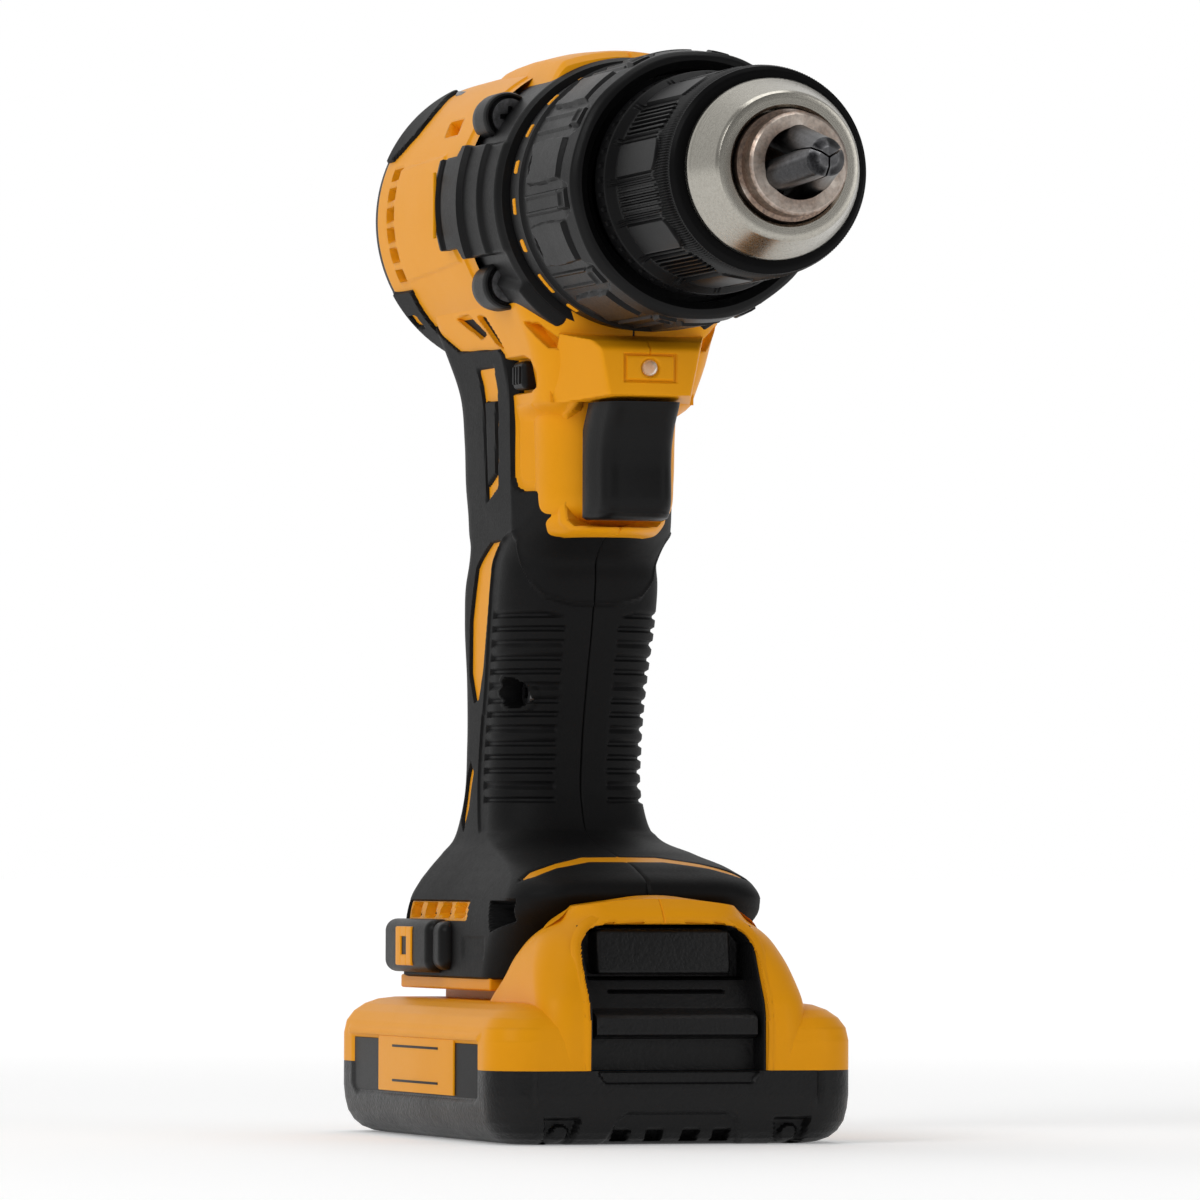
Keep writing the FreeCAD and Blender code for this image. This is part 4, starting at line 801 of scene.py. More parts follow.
def innerShell(spots):
    # yellow shell under the rubber, close to it only where a window shows it
    pts, normal, along = sectionRows(gripKnots, 240, (12, 40, 60, 40, 12))
    x, y, z = pts[..., 0], pts[..., 1], pts[..., 2]
    side = (np.abs(normal[..., 1]) > 0.55)
    near = np.maximum(edgeDistance(x, z, strapInsert), edgeDistance(x, z, rackPlate)) * side - 9 * ~side
    for strip in (longStrip, lowStrip, topStripe):
        near = np.maximum(near, edgeDistance(along, z, strip))
    rise = -3.0 + 2.25 * smoothStep(-1.6, -0.9, near)
    for window in rackWindows:
        rise = rise - 2.2 * side * smoothStep(-0.2, 0.3, edgeDistance(x, z, window))
    for spotX, spotZ in spots:
        near = np.hypot(x - spotX, z - spotZ)
        rise = rise - 9.0 * (1 - smoothStep(2.6, 3.6, near)) * (y < -8) * (z < 128)
    for hole in footHoles:
        rise = rise - 9.0 * smoothStep(-0.8, 0.4, edgeDistance(x, z, hole)) * (y < -20)
    return pts + normal * rise[..., None]


headKnots = [(124.6, 13.0, -40.0, 10.0, 8.0), (125.2, 16.2, -40.4, 13.0, 10.0),
             (127.0, 18.6, -41.0, 15.2, 11.6),
             (131.0, 19.8, -41.6, 16.7, 13.0), (138.0, 20.4, -42.4, 17.0, 13.5),
             (149.0, 21.0, -43.2, 17.1, 13.5),
             (153.5, 23.6, -43.6, 17.3, 11.5), (160.0, 26.0, -45.6, 18.6, 10.5),
             (166.0, 26.6, -47.6, 20.2, 11.0),
             (172.0, 27.0, -49.0, 22.4, 11.5), (180.0, 27.0, -49.0, 25.0, 12.0)]
slotShapes = [[(-24.8, 171.6), (-16.7, 171.9), (-9.0, 167.6), (-13.0, 166.9)],
              [(-10.7, 171.3), (-6.1, 171.0), (-0.6, 164.3), (-4.4, 165.6)],
              [(17.6, 168.6), (21.6, 168.2), (26.0, 162.8), (22.4, 163.4)]]
buttonBay = [(-4.0, 161.7), (12.0, 161.7), (15.4, 160.7), (16.6, 158.2), (15.4, 155.7), (12.0, 154.8),
             (-4.0, 154.8)]
sidePanel = [(0.6, 152.6), (0.6, 137.6), (1.8, 136.0), (4.0, 135.4), (9.8, 135.4), (11.2, 137.0),
             (11.6, 152.6)]
triggerOpening = [(-9.9, 155.0), (-10.0, 150.0), (-10.1, 131.0), (-9.7, 128.2), (-8.4, 126.9), (1.0, 126.5),
                  (1.0, 155.0)]


def headHalf(surface):
    # yellow head between the barrel and the grip, with the trigger opening and its raised lip
    pts, normal, _ = sectionRows(headKnots, 190, (40, 66, 80, 20, 6))
    pts = narrowed(pts)
    x, y, z = pts[..., 0], pts[..., 1], pts[..., 2]
    rise = seamDip(y)
    flank = y < -10
    for shape in slotShapes:
        rise = rise - 3.2 * flank * smoothStep(-0.25, 0.45, edgeDistance(x, z, shape))
    rise = rise - 4.0 * flank * smoothStep(-0.3, 0.4, edgeDistance(x, z, buttonBay))
    opening = edgeDistance(y, z, triggerOpening)
    frontal = x > 8
    rise = rise + 0.7 * frontal * smoothStep(-1.9, -0.9, opening) * (z < 156)
    rise = rise - 13.0 * frontal * smoothStep(-0.1, 0.5, opening)
    # the side panel is a shallow raised field
    rise = rise + 0.3 * smoothStep(0.2, 0.8, edgeDistance(x, z, sidePanel)) * flank
    surface.grid(pts + normal * rise[..., None], flip=True)
    return surface


# motor barrel, top ridge and light nose

ventRows = (203.3, 199.0, 194.7, 190.4, 186.1, 181.8)
platePanel = [(-41.9, 19.1), (-10.7, 20.9), (-1.0, -22.7), (-47.0, -26.9)]
rearRubberLow = [(-70, -27.6), (-41.0, -29.6), (-42.4, -38.0), (-44.0, -48.0), (-45.6, -60.0),
                 (-46.5, -100.0),
                 (-70, -100.0)]
rearRubberTop = [(-70, 23.5), (-50.0, 23.5), (-46.5, 27.0), (-42.0, 34.0), (-41.5, 42.0), (-44.0, 50.0),
                 (-49.0, 58.0), (-51.5, 64.0), (-70, 66.0)]
lowWindow = [(-52.5, -40.5), (-48.2, -41.0), (-49.0, -46.0), (-53.0, -45.0)]
barrel = {"radius": 31.0, "arcPerDegree": 0.541}


def barrelDistance(x, deg, corners):
    # signed distance in mm, over the barrel's skin, to a polygon of (x, degrees) corners
    arc = barrel["arcPerDegree"]
    return edgeDistance(x, deg * arc, [(px, angle * arc) for px, angle in corners])


def barrelPoints(xStep, aStep, xEnd):
    xs, rs = denseProfile([(-57.4, 27.6), (-56.4, 29.8), (-54.0, 31.0), (xEnd, 31.0)], xStep)
    deg = np.arange(-90, 90 + aStep / 2, aStep)[None, :] + 0 * xs[:, None]
    return xs[:, None] + 0 * deg, deg, rs[:, None] + 0 * deg


def placeBarrel(x, deg, r):
    a = np.radians(deg)
    return np.stack([x, -r * np.cos(a), axisZ + r * np.sin(a)], axis=-1)


def barrelHalf(surface):
    x, deg, r = barrelPoints(0.46, 0.88, 6.4)
    arc = barrel["arcPerDegree"]
    rise = seamDip(r * np.cos(np.radians(deg)))
    rise = rise + 0.45 * smoothStep(-0.2, 0.5, barrelDistance(x, deg, platePanel))
    for level in ventRows:
        spot = math.degrees(math.asin((level - axisZ) / barrel["radius"]))
        hole = np.minimum(1.25 - np.abs(deg - spot) * arc, 3.1 - np.abs(x + 44.2))
        rise = rise - 2.6 * smoothStep(-0.2, 0.3, hole)
    window = np.minimum(2.0 - np.abs(deg - 33.6) * arc, 4.4 - np.abs(x + 15.6 + 0.42 * (deg - 33.6)))
    rise = rise - 2.6 * smoothStep(-0.2, 0.3, window)
    # shallow step where the front of the barrel takes the gearcase
    rise = rise - 0.5 * smoothStep(0.8, 1.4, x) * (deg > -60)
    surface.grid(placeBarrel(x, deg, r + rise), flip=True)


def rearRubber(surface):
    x, deg, r = barrelPoints(0.6, 1.2, -30.0)
    cover = np.maximum(barrelDistance(x, deg, rearRubberLow), barrelDistance(x, deg, rearRubberTop))
    cover = np.maximum(cover, -55.2 - x)
    shown = smoothStep(-0.3, 0.3, np.minimum(cover, -barrelDistance(x, deg, lowWindow)))
    surface.grid(placeBarrel(x, deg, r - 1.6 + 2.4 * shown), flip=True)


def ridgeHalf(surface):
    # ridge along the top of the motor: a height field over (x, across), falling away at its sides and ends
    x = np.linspace(-44.0, 24.0, 150)[:, None]
    v = np.linspace(0, 1, 64)[None, :]
    crest = np.interp(x, [-44, -38, -33, -29, -20, -4, 8, 18, 22, 24],
                      [220.5, 224.2, 224.8, 225.4, 225.8, 226.1, 226.0, 225.4, 224.9, 223.6])
    flat = np.interp(x, [-44, -36, -20, 0, 24], [7.5, 9.0, 10.5, 12.5, 13.5])
    wide = flat + 9.5
    y = wide * v + 0 * x
    slope = smoothStep(0, 1, np.clip((y - flat) / (wide - flat), 0, 1))
    z = crest - 0.012 * y ** 2 - slope * (crest - 212.5)
    rear = 1 - smoothStep(-44.0, -37.0, x)
    z = z - rear * 7.0
    z = z + seamDip(y)
    notch = np.minimum(3.0 - np.abs(x + 34.5), 6.0 - np.abs(y - 3.0))
    z = z - 1.1 * smoothStep(-0.3, 0.5, notch) * (y > -1)
    pts = np.stack([x + 0 * y, -y, z], axis=-1)
    front = pts[-1].copy()
    front[:, 2] = np.minimum(front[:, 2], 223.0) - 1.2
    front[:, 0] += 0.4
    low = front.copy()
    low[:, 2] = 211.0
    surface.grid(np.concatenate([pts, front[None], low[None]]), flip=True)
    return surface


def noseHalf(surface):
    # light nose over the trigger: a height field in x over its front view
    y = np.linspace(0, 15.6, 64)[None, :]
    z = np.linspace(152.05, 168.2, 68)[:, None]
    reach = 8.8 + 0.21 * (z - 153.2)
    face = 37.6 + 0 * y * z
    roof = 37.6 - (z - 162.6) * 1.5 + 0 * y
    side = 37.6 - (y - reach) * 3.0
    below = 26.6 + (165.7 - z) * 6.0 + 0 * y
    under = 37.6 + (z - 152.9) * 16.0 + 0 * y
    x = face
    for plane in (roof, side, under, below):
        d = plane - x
        x = np.minimum(x, plane) - 0.3 * np.exp(-np.abs(d) / 0.5)
    x = np.maximum(x, 19.0)
    bezel = np.maximum(np.abs(y) - 5.4, np.abs(z - 158.6) - 2.7)
    x = x - 0.5 * (1 - smoothStep(0.15, 0.4, np.abs(bezel)))
    x = x - 0.7 * smoothStep(-0.2, 0.3, 2.0 - np.hypot(y, z - 158.6))
    x = x - 0.35 * (1 - smoothStep(0.0, 0.26, np.abs(y))) * (z > 161.3)
    surface.grid(np.stack([x, -y + 0 * z, z + 0 * y], axis=-1))
    return surface


for mirrored, hand in ((False, "Right"), (True, "Left")):
    node = "housing_" + hand.lower()
    shell = Surface()
    headHalf(shell)
    barrelHalf(shell)
    ridgeHalf(shell)
    noseHalf(shell)
    # the clamshell screws go in from the right
    spots = [] if mirrored else boreSpots
    shell.grid(innerShell(spots), flip=True)
    shell.build("housing" + hand, "housing", plastics["yellow"], 32.0, [node], "yellow_plastic", mirrored)
    rubber = handleHalf(spots)
    rearRubber(rubber)
    rubber.build("gripRubber" + hand, "housing", plastics["blackRubber"], 32.0,
                 ["grip_rubber_" + hand.lower()],
                 "black_rubber", mirrored)
print("housing made")

# gearcase: a turned grid with a raised saddle on each flank

saddle = [(-5.9, 9.7), (4.5, 9.9), (6.0, 12.0), (27.0, 12.4), (27.0, -12.6), (6.0, -12.2), (4.5, -9.9),
          (-5.9, -9.8)]
lowerBrow = [(7.5, -20.5), (14.0, -17.5), (26.0, -20.5), (26.0, -33.0), (12.0, -30.5)]
lugSpot = (23.0, 17.3)      # across and up from the chuck axis


def gearcaseShell():
    xs, rs = denseProfile([(-6.6, 27.5), (-6.0, 28.6), (6.2, 28.6), (6.4, 29.4), (24.6, 29.4), (26.4, 28.6),
                           (26.6, 26.0)], 0.42)
    steps = 560
    pts = turnedPoints(xs, rs, steps)
    deg = turnDegrees(steps)
    # distance over the skin from the level of the axis, the same on both flanks
    arc = np.degrees(np.arcsin(np.sin(np.radians(deg)))) * barrel["arcPerDegree"]
    x = xs[:, None]
    flank = edgeDistance(x + 0 * arc, arc + 0 * x, saddle)
    level = np.interp(x, [-6, -5.2, -3.8, -3.4, -1.4, -1.0, 8.6, 9.4, 17.6, 18.4, 26.0],
                      [4.6, 5.0, 5.0, 4.2, 4.2, 4.7, 4.4, 3.2, 2.7, 1.7, 1.0])
    level = level + np.where(x > 6.3, -0.8, 0.0)
    rise = level * smoothStep(-0.3, 0.9, flank)
    brow = edgeDistance(x + 0 * arc, arc + 0 * x, lowerBrow)
    rise = rise + 1.7 * smoothStep(-0.4, 1.0, brow)
    rise = rise * ((xs > -6.3) & (xs < 25.9))[:, None]
    pushOut(pts, rise, deg)
    case = Surface().grid(pts, closeV=True, flip=True)
    lugX, lugR = denseProfile([(4.0, 5.0), (6.2, 5.3), (12.6, 5.3), (13.4, 5.0), (13.6, 4.6), (13.3, 4.3),
                               (12.4, 4.2), (12.4, 0.4)], 0.7)
    for signY in (-1, 1):
        for signZ in (-1, 1):
            lug = turnedPoints(lugX, lugR, 40)
            lug[..., 1] += signY * lugSpot[0]
            lug[..., 2] += signZ * lugSpot[1]
            case.grid(lug, closeV=True, flip=True)
    noseX, noseR = denseProfile([(26.0, 19.5), (63.6, 19.5), (64.0, 19.0), (64.0, 8.6)], 2.0)
    case.grid(turnedPoints(noseX, noseR, 96), closeV=True, flip=True)
    case.build("gearcase", "housing", plastics["blackPlastic"], 35.0, ["gearcase"], "black_plastic")
    boxPiece("saddleStripes")


# trigger: rounded sections with a hollowed front and flared flanks

def triggerBlade():
    z = np.linspace(0, 1, 90)
    heights = 128.3 + 23.5 * z
    frontX = np.interp(z, [0, 0.05, 0.13, 0.25, 0.45, 0.62, 0.78, 0.9, 0.97, 1.0],
                       [28.6, 30.2, 31.0, 31.0, 30.8, 31.2, 32.7, 34.8, 36.2, 36.4])
    frontX = np.convolve(np.pad(frontX, 4, mode="edge"), np.ones(9) / 9, mode="valid")
    frontX[:4] = np.linspace(28.8, frontX[4], 4)
    v = np.linspace(-1, 1, 60)[None, :]
    # the section runs forward along one flank, round the front and back along the other
    half, r = 7.3, 2.8
    bend = half - r * 0.785
    path = np.abs(v) * (half + 11.0)
    u = np.clip((path - bend) / (r * 1.57), 0, 1) * np.pi / 2
    y = np.where(path < bend, path * (half - r) / bend, (half - r) + r * np.sin(u))
    inset = r * (1 - np.cos(u)) + np.clip(path - (half + r * 0.785), 0, None)
    width = y * (half + 1.9 * smoothStep(0, 9.0, inset)) / half
    x = frontX[:, None] - inset - 0.35 * (1 - (width / half) ** 2).clip(0, 1)
    pts = np.stack([x, width * np.sign(v) + 0 * x, heights[:, None] + 0 * x], axis=-1)
    pts[..., 0] = np.maximum(pts[..., 0], 21.0)
    # rounded underside
    lower = pts[0].copy()
    lower[:, 0] = np.maximum(lower[:, 0] - 2.0, 20.9)
    lower[:, 2] -= 0.5
    lower[:, 1] *= 0.9
    blade = Surface().grid(np.concatenate([lower[None], pts]), capFirst=True, capLast=True)
    softBox(blade, (17.0, -3.0, 139.0), (21.4, 3.0, 145.0), 0.5)
    return blade.build("trigger", "trigger", plastics["blackPlastic"], 50.0, ["trigger"], "black_plastic")


# battery

packCorner = 9.0


def fullRing(front, rear, half, corner, samples):
    # closed ring round a rounded rectangle, starting at the front centre and turning toward -Y
    pts, _, _ = sectionRows([(0, front, rear, half, corner), (1, front, rear, half, corner)], 2,
                            (samples[0], samples[1], samples[2], samples[1], samples[0]))
    right = pts[0][:-1]
    left = pts[0][1:][::-1] * np.array([1, -1, 1])
    return np.concatenate([right, left])


def packRows(levels, samples):
    rows = []
    for z, inset in levels:
        ring = fullRing(57.5 - inset, -57.5 + inset, 39.0 - inset, max(packCorner - inset * 0.3, 2.0),
                        samples)
        ring[:, 2] = z
        rows.append(ring)
    return np.stack(rows)


def denseLevels(corners, step):
    xs, rs = denseProfile(corners, step)
    return list(zip(xs, rs))


labelOutline = [(-43.5, 20.6), (45.0, 20.6), (45.0, 9.8), (42.4, 8.4), (-40.6, 8.4), (-43.5, 10.4)]


def batteryLower():
    levels = denseLevels([(0.0, 7.4), (0.35, 5.4), (1.2, 3.4), (2.6, 1.9), (4.6, 0.8), (7.2, 0.25),
                          (10.0, 0.0),
                          (15.0, 0.0)], 0.36)
    pts = packRows(levels, (66, 14, 120, 14))
    x, y, z = pts[..., 0].copy(), pts[..., 1].copy(), pts[..., 2]
    label = smoothStep(-0.3, 0.3, edgeDistance(x, z, labelOutline)) * (np.abs(y) > 30)
    pts[..., 1] -= 0.55 * label * np.sign(y)
    front = x > 50
    plate = edgeDistance(y, z, [(-17.4, 14.9), (17.4, 14.9), (15.6, 12.4), (-15.6, 12.4)])
    pts[..., 0] -= 1.0 * front * smoothStep(-0.2, 0.3, plate)
    recess = edgeDistance(y, z, [(-15.2, -1.0), (-12.6, 5.4), (-10.8, 6.6), (10.8, 6.6), (12.6, 5.4),
                                 (15.2, -1.0)])
    pts[..., 0] -= 1.5 * front * smoothStep(-0.3, 0.5, recess)
    for centre in (-13.0, -4.6, 4.4, 12.0):
        slot = np.minimum(1.7 - np.abs(y - centre * 0.86), 1.2 - np.abs(z - 2.0))
        pts[..., 0] -= 3.0 * front * smoothStep(-0.2, 0.4, slot)
    for side in (-1, 1):
        cup = edgeDistance(y * side, z, [(20.6, 5.6), (28.4, 5.6), (27.4, -0.5), (21.8, -0.5)])
        pts[..., 0] -= 2.4 * front * smoothStep(-0.3, 0.6, cup)
        boss = 2.0 - np.hypot(y * side - 24.5, z - 2.2)
        pts[..., 0] += 1.4 * front * smoothStep(-0.2, 0.5, boss)
    # two grooves where the corners meet the front
    for side in (-1, 1):
        line = 0.3 - np.abs(y * side - 30.2)
        pts[..., 0] -= 0.4 * front * smoothStep(-0.3, 0.2, line) * (z > 6)
    top = pts[-1].copy()
    top[:, :2] *= 0.93
    floor = top.copy()
    floor[:, 2] = 3.0
    rows = np.concatenate([pts, top[None], floor[None]])
    case = Surface().grid(rows, closeV=True, capFirst=True, capLast=True, flip=True)
    return case.build("batteryLowerCase", "battery", plastics["coarseBlack"], 35.0, ["battery_lower_case"],
                      "black_plastic")


windowOutline = [(-18.9, 10.0), (-18.9, 37.0), (-18.4, 41.0), (-16.4, 43.6), (-12.5, 44.7), (12.5, 44.7),
                 (16.4, 43.6), (18.4, 41.0), (18.9, 37.0), (18.9, 10.0)]
archFront = ([15, 26, 29.0, 33.4, 38.5, 43.0, 46.2, 48.4], [57.5, 57.45, 56.6, 53.8, 50.9, 48.4, 46.4, 44.2])


def windowShape(y, z):
    return edgeDistance(y, z, windowOutline)


def batteryUpper():
    case = Surface()
    levels = denseLevels([(15.02, 0.05), (15.3, 0.0), (21.0, 0.0), (23.6, 0.5), (25.6, 1.8), (27.2, 3.8),
                          (28.2, 6.2), (28.6, 9.0)], 0.4)
    pts = packRows(levels, (92, 14, 120, 14))
    x, y, z = pts[..., 0].copy(), pts[..., 1].copy(), pts[..., 2]
    pts[..., 0] = np.where((x > 49) & (windowShape(y, z) > 0), 48.5, x)
    label = smoothStep(-0.3, 0.3, edgeDistance(x, z, labelOutline)) * (np.abs(y) > 30)
    pts[..., 1] -= 0.55 * label * np.sign(y)
    # the label bay's upper edge flares outward a little
    brow = (1 - smoothStep(0.4, 1.2, np.abs(z - 21.6))) * (np.abs(x) < 46) * (np.abs(y) > 36)
    pts[..., 1] += 0.35 * brow * np.sign(y)
    case.grid(pts, closeV=True, capLast=True, flip=True)
    # arch
    knots = [(15.1, 57.5, 10.0, 29.0, 6.5), (26.0, 57.45, 12.0, 28.9, 6.5), (29.0, 56.6, 15.5, 28.6, 6.5),
             (33.4, 53.8, 21.6, 27.9, 7.0), (38.5, 50.9, 24.9, 26.4, 8.0), (43.0, 48.4, 28.6, 24.0, 9.0),
             (46.2, 46.4, 32.0, 20.6, 9.5), (48.4, 44.2, 35.4, 17.4, 4.2)]
    right, _, _ = sectionRows(knots, 96, (76, 30, 50, 8, 6))
    x, y, z = right[..., 0].copy(), right[..., 1].copy(), right[..., 2]
    crest = 2.0 * np.clip(1 - (y / 20.0) ** 2, 0, 1)
    lift = smoothStep(34.0, 48.4, z)
    right[..., 2] = z + lift * (crest - 0.6)
    inside = windowShape(y, right[..., 2])
    right[..., 0] = np.where((x > 39) & (inside > 0), 38.5, x)
    # soft frame along the window's edge
    right[..., 0] += 0.35 * (x > 39) * smoothStep(-1.6, -0.5, inside) * (inside <= 0)
    seam = (1 - smoothStep(0.0, 0.3, np.abs(y))) * 0.35 * (z > 44.5)
    right[..., 0] -= seam
    top = right[-1].copy()
    for flipY in (1, -1):
        half = right * np.array([1, flipY, 1])
        case.grid(half, flip=flipY > 0)
        lid = top * np.array([1, flipY, 1])
        inner = lid.copy()
        inner[:, 0] = 40.0 + (inner[:, 0] - 40.0) * 0.35
        inner[:, 1] *= 0.6
        inner[:, 2] += 0.7
        core = inner.copy()
        core[:, 0] = 40.0
        core[:, 1] *= 0.0
        case.grid(np.stack([lid, inner, core]), flip=flipY > 0)
    # rail tower that slides into the foot
    softBox(case, (-38.0, -20.2, 27.0), (16.0, 20.2, 34.6), 0.6)
    softBox(case, (-38.0, -23.5, 34.0), (16.0, 23.5, 40.5), 0.6)
    return case.build("batteryUpperCase", "battery", plastics["yellow"], 32.0, ["battery_upper_case"],
                      "yellow_plastic")


def windowFrame():
    # smooth lip round the front window, carried along its outline
    corner = np.radians(np.linspace(0, 90, 14))
    arcY = 12.6 + 6.3 * np.cos(corner)
    arcZ = 38.4 + 6.3 * np.sin(corner)
    straight = np.linspace(15.0, 38.0, 60)
    across = np.linspace(12.2, -12.2, 40)
    y = np.concatenate([np.full(60, 18.9), arcY, across, -arcY[::-1], np.full(60, -18.9)])
    z = np.concatenate([straight, arcZ, np.full(40, 44.7), arcZ[::-1], straight[::-1]])
    step = np.stack([np.gradient(y), np.gradient(z)], axis=-1)
    step /= np.linalg.norm(step, axis=-1, keepdims=True)
    outY, outZ = step[:, 1], -step[:, 0]
    rows = []
    for out, lift, back in ((2.0, -0.5, 0), (1.3, 0.12, 0), (0.6, 0.3, 0), (0.1, 0.15, 0), (-0.1, -0.4, 0),
                            (-0.15, 0, 5.0), (-0.1, 0, 9.0)):
        py = y + outY * out
        pz = z + outZ * out
        front = np.interp(pz, *archFront)
        rows.append(np.stack([front + lift - back, py, np.maximum(pz, 15.05)], axis=-1))
    bezel = Surface().grid(np.stack(rows))
    return bezel.build("batteryWindowFrame", "battery", plastics["yellow"], 40.0, (), "yellow_plastic")


def latchRecess():
    # black lining of the front window: a height field in x over its front view
    y = np.linspace(-18.7, 18.7, 100)[None, :]
    z = np.linspace(15.1, 44.4, 150)[:, None]
    x = np.interp(z, [15.0, 21.4, 21.9, 22.4, 25.6, 26.3, 27.6, 33.2, 33.8, 45.0],
                  [52.6, 52.4, 55.4, 56.3, 56.2, 55.2, 51.4, 47.2, 41.8, 41.8]) + 0 * y
    shelf = (z > 21.6) & (z < 27.0)
    x = np.where(shelf & (np.abs(y) > 17.4), np.minimum(x, 52.4), x)
    slot = np.minimum(0.28 - np.abs(z - 30.9), 12.4 - np.abs(y))
    x = x - 1.2 * smoothStep(-0.15, 0.15, slot)
    arch = np.interp(z, [15, 26, 29.0, 33.4, 38.5, 43.0, 46.2], [57.5, 57.4, 56.6, 53.8, 50.9, 48.4, 46.4])
    wall = smoothStep(17.7, 18.3, np.abs(y)) + 0 * z
    rounded = windowShape(y + 0 * z, z + 0 * y)
    wall = np.maximum(wall, 1 - smoothStep(0.0, 0.8, rounded))
    x = x * (1 - wall) + (arch - 0.5) * wall
    lining = Surface().grid(np.stack([x, y + 0 * z, z + 0 * y], axis=-1), flip=True)
    return lining.build("latchRecess", "battery", plastics["coarseBlack"], 35.0, ["battery_finger_shelf"],
                        "black_plastic")


def latchLean(p):
    # the button's front face leans back toward its top
    q = p.copy()
    q[..., 0] -= 0.13 * (p[..., 2] - 34.4) * smoothStep(42.0, 47.0, p[..., 0])
    return q


# millimetres: boxes are (low corner, high corner, radius), flanks are (x span, reach from the centre, z
# span, radius)
boxPieces = {
    "saddleStripes": {
        "body": "housing", "look": "yellow", "slot": "yellow_plastic",
        "flanks": [((-5.1, -4.05), (33.2, 34.0), (187.0, 200.8), 0.25)]},
    "directionButton": {
        "body": "direction_button", "look": "blackPlastic", "slot": "black_plastic",
        "replaces": ["direction_button"],
        "boxes": [((1.6, -18.4, 155.3), (9.0, 18.4, 161.2), 1.2)],
        "flanks": [((3.0 + 1.8 * k, 3.9 + 1.8 * k), (18.2, 18.8), (156.4, 160.1), 0.25) for k in range(3)]},
    "buttonBays": {
        "body": "housing", "look": "blackPlastic", "slot": "black_plastic",
        "flanks": [((-4.5, 17.0), (12.4, 13.9), (154.3, 162.2), 0.3)]},
    "speedSelector": {
        "body": "speed_selector", "look": "blackPlastic", "slot": "black_plastic",
        "replaces": ["speed_selector"],
        "boxes": [((-25.0, -5.8, 219.5), (-13.0, 5.8, 225.2), 0.8)]
        + [((-23.2 + 2.1 * k, -5.2, 224.6), (-22.2 + 2.1 * k, 5.2, 225.6), 0.3) for k in range(5)]},
    "rearBumper": {
        "body": "housing", "look": "coarseBlack", "slot": "black_rubber", "replaces": ["rear_bumper"],
        "boxes": [((-57.2, -9.5, 157.0), (-45.0, 9.5, 168.0), 3.2)]},
    "triggerWell": {
        "body": "housing", "look": "blackPlastic", "slot": "black_plastic",
        "boxes": [((8.0, -9.6, 126.9), (9.5, 9.6, 154.0), 0.4)]},
    "batteryLatch": {
        "body": "battery_latch", "look": "coarseBlack", "slot": "black_plastic",
        "replaces": ["battery_latch"],
        "boxes": [((41.7, -14.4, 34.4), (47.9, 14.4, 43.6), 0.9)], "lean": latchLean},
    "labelField": {
        "body": "battery", "look": "glossBlack", "slot": "black_plastic",
        "flanks": [((-43.0, 44.4), (38.3, 38.62), (9.2, 20.2), 0.12)]},
    "labelPlate": {
        "body": "battery", "look": "yellow", "slot": "yellow_plastic",
        "flanks": [((-24.4, 28.6), (38.4, 39.05), (9.4, 20.9), 0.3)]},
    "labelBars": {
        "body": "battery", "look": "glossBlack", "slot": "black_plastic",
        "flanks": [((-14.0, 18.0), (38.9, 39.2), (level, level + 0.5), 0.1) for level in (11.4, 18.6)]},
    # blocks on both flanks of the foot that take a belt hook, each with a plate round its threaded hole
    "hookBlocks": {
        "body": "housing", "look": "blackPlastic", "slot": "black_plastic", "replaces": ["hook_bosses"],
        "flanks": [((-45.0, -12.6), (25.5, 32.0), (34.0, 45.2), 2.6),
                   ((-14.0, -6.5), (25.5, 31.0), (34.6, 44.8), 2.4)]},
    "hookPlates": {
        "body": "housing", "look": "yellow", "slot": "yellow_plastic",
        "flanks": [(spanX, (31.0, 32.35), (35.4, 43.6), 0.4) for spanX in ((-34.6, -30.9), (-27.1, -23.4))]
        + [((-31.1, -26.9), (31.0, 32.35), spanZ, 0.3) for spanZ in ((35.4, 37.7), (41.5, 43.6))]},
    "footRails": {
        "body": "housing", "look": "yellow", "slot": "yellow_plastic",
        "flanks": [((-46.0, 17.0), (24.2, 27.6), (30.6, 33.4), 0.5)]},
}


def lightLens():
    angle = np.radians(np.linspace(0, 360, 37)[:-1])[None, :]
    radius = np.array([1.75, 1.7, 1.6, 1.3, 0.9, 0.4])[:, None]
    x = np.array([35.8, 37.1, 37.4, 37.75, 37.95, 38.05])[:, None]
    pts = np.stack([x + 0 * angle, radius * np.cos(angle), 158.6 + radius * np.sin(angle)], axis=-1)
    lens = Surface().grid(pts, closeV=True, capFirst=True, capLast=True)
    return lens.build("lightLens", "housing", plastics["lens"], 50.0, ["led_lens"], "lens")


gearcaseShell()
lightLens()
triggerBlade()
for name in ("directionButton", "buttonBays", "speedSelector", "rearBumper", "triggerWell"):
    boxPiece(name)
print("gearcase and trigger made")
batteryLower()
batteryUpper()
windowFrame()
latchRecess()
for name in ("batteryLatch", "labelField", "labelPlate", "labelBars", "hookBlocks", "hookPlates",
             "footRails"):
    boxPiece(name)
print("battery made")

# floor, lights and camera

studio = {"keyPower": 13.0, "fillPower": 4.5, "rimPower": 9.0, "back": 1.0, "front": 0.25, "floorSize": 60.0}


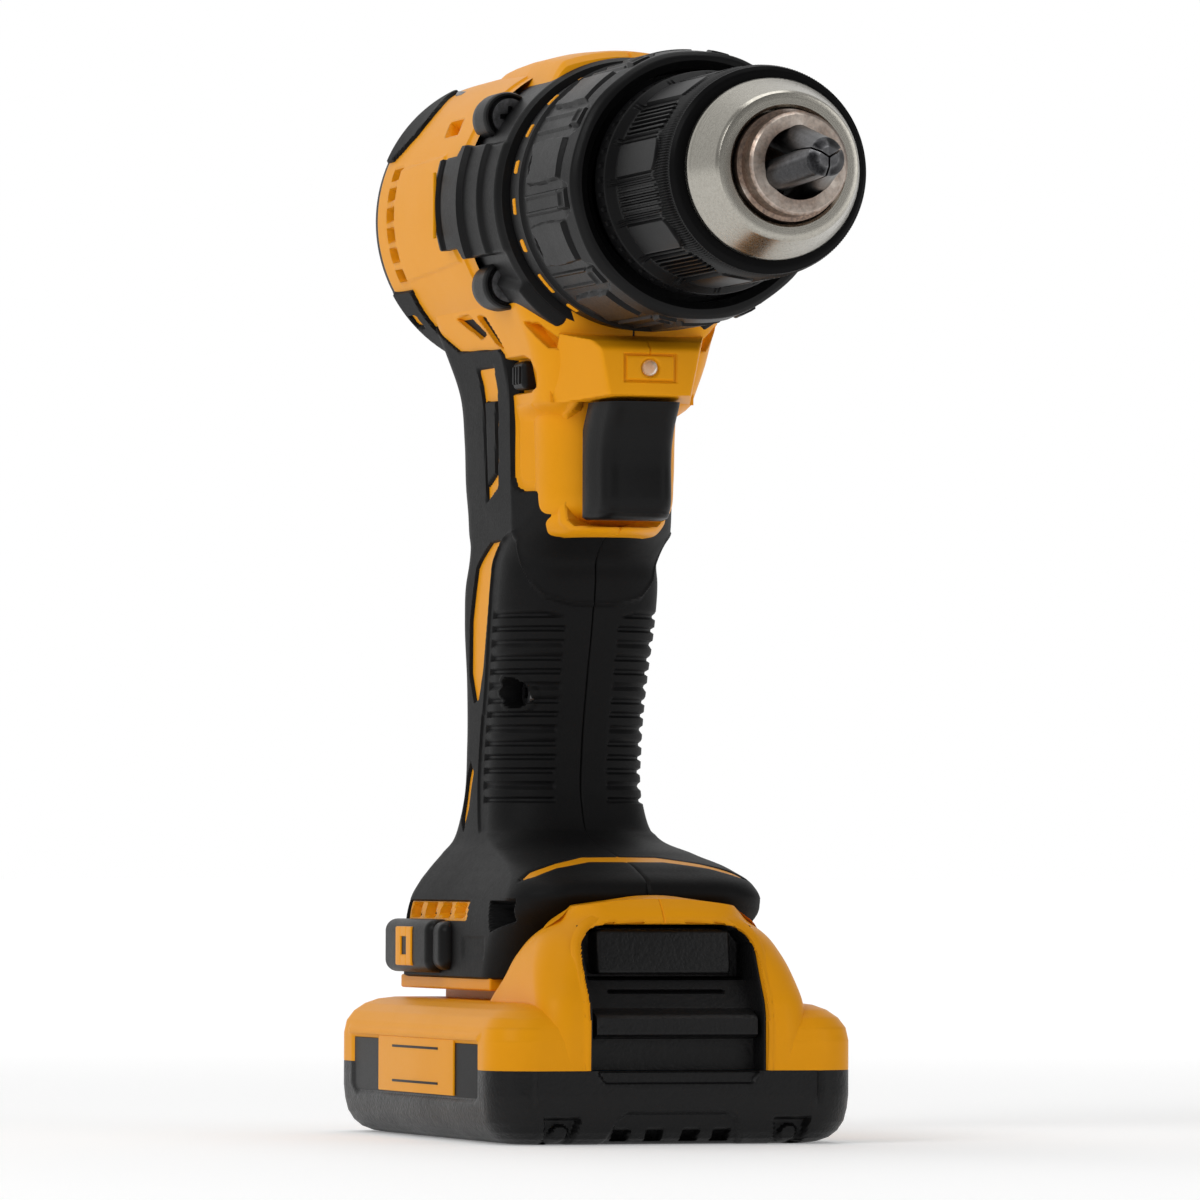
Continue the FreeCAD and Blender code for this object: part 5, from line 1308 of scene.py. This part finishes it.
def paleFloor():
    half = studio["floorSize"] / 2
    mesh = bpy.data.meshes.new("floor")
    mesh.from_pydata([(-half, -half, 0), (half, -half, 0), (half, half, 0), (-half, half, 0)], [],
                     [(0, 1, 2, 3)])
    floor = bpy.data.objects.new("floor", mesh)
    bpy.context.scene.collection.objects.link(floor)
    mat, tree, shader = newMaterial("paleFloor")
    shader.inputs["Roughness"].default_value = 0.75
    shader.inputs["Specular IOR Level"].default_value = 0.1
    # near the drill the floor takes its shadow, and farther out it glows softly into the white surroundings
    coord = tree.nodes.new("ShaderNodeTexCoord").outputs["Object"]
    length = tree.nodes.new("ShaderNodeVectorMath")
    length.operation = "LENGTH"
    tree.links.new(coord, length.inputs[0])
    fade = mapRange(tree, length.outputs["Value"], (0.12, 1.1), smooth=True)
    tone = mixColour(tree, fade, (0.93, 0.93, 0.93), (0.02, 0.02, 0.02))
    tree.links.new(tone, shader.inputs["Base Color"])
    shader.inputs["Emission Color"].default_value = (1, 1, 1, 1)
    tree.links.new(mathNode(tree, "MULTIPLY_ADD", fade, 0.75, 0.22), shader.inputs["Emission Strength"])
    floor.data.materials.append(mat)


def softLight(name, place, target, size, power):
    lamp = bpy.data.lights.new(name, "AREA")
    lamp.shape = "RECTANGLE"
    lamp.size, lamp.size_y = size
    lamp.energy = power
    holder = bpy.data.objects.new(name, lamp)
    bpy.context.scene.collection.objects.link(holder)
    aim = Vector(target) - Vector(place)
    holder.matrix_world = Matrix.Translation(place) @ aim.to_track_quat("-Z", "Y").to_matrix().to_4x4()


def studioWorld():
    # white behind the drill and dimmer on the side it faces, as in a tent open at the front
    world = bpy.data.worlds.new("paleWorld")
    bpy.context.scene.world = world
    world.use_nodes = True
    tree = world.node_tree
    back = tree.nodes["Background"]
    back.inputs["Color"].default_value = (1, 1, 1, 1)
    aim = tree.nodes.new("ShaderNodeTexCoord").outputs["Generated"]
    parts = tree.nodes.new("ShaderNodeSeparateXYZ")
    tree.links.new(aim, parts.inputs[0])
    level = mapRange(tree, parts.outputs[0], (-0.9, -0.1), (studio["back"], studio["front"]), smooth=True)
    tree.links.new(level, back.inputs["Strength"])


def viewCamera():
    # looks from the drill's front right, 18 degrees off the chuck axis, a little above the floor
    look = {"place": (1.80937, -0.59140, 0.05655), "right": (0.311518, 0.950234, 0.003451),
            "up": (0.026572, -0.012342, 0.999571), "lens": 273.576}
    data = bpy.data.cameras.new("camera")
    data.lens = look["lens"]
    data.sensor_width = 36.0
    data.clip_start = 0.05
    data.clip_end = 200.0
    camera = bpy.data.objects.new("camera", data)
    bpy.context.scene.collection.objects.link(camera)
    right = Vector(look["right"]).normalized()
    up = Vector(look["up"]).normalized()
    back = right.cross(up)
    turn = Matrix((right, up, back)).transposed().to_4x4()
    camera.matrix_world = Matrix.Translation(look["place"]) @ turn
    bpy.context.scene.camera = camera


paleFloor()
studioWorld()
softLight("keyLight", (0.9, -1.6, 1.3), (0, 0, 0.12), (1.0, 1.0), studio["keyPower"])
softLight("fillLight", (1.7, 1.3, 0.7), (0, 0, 0.12), (0.8, 1.2), studio["fillPower"])
softLight("topLight", (-0.2, 0.0, 1.9), (0, 0, 0.1), (1.2, 1.2), studio["rimPower"])
viewCamera()
bpy.context.scene.view_settings.view_transform = "Standard"
print("studio made")
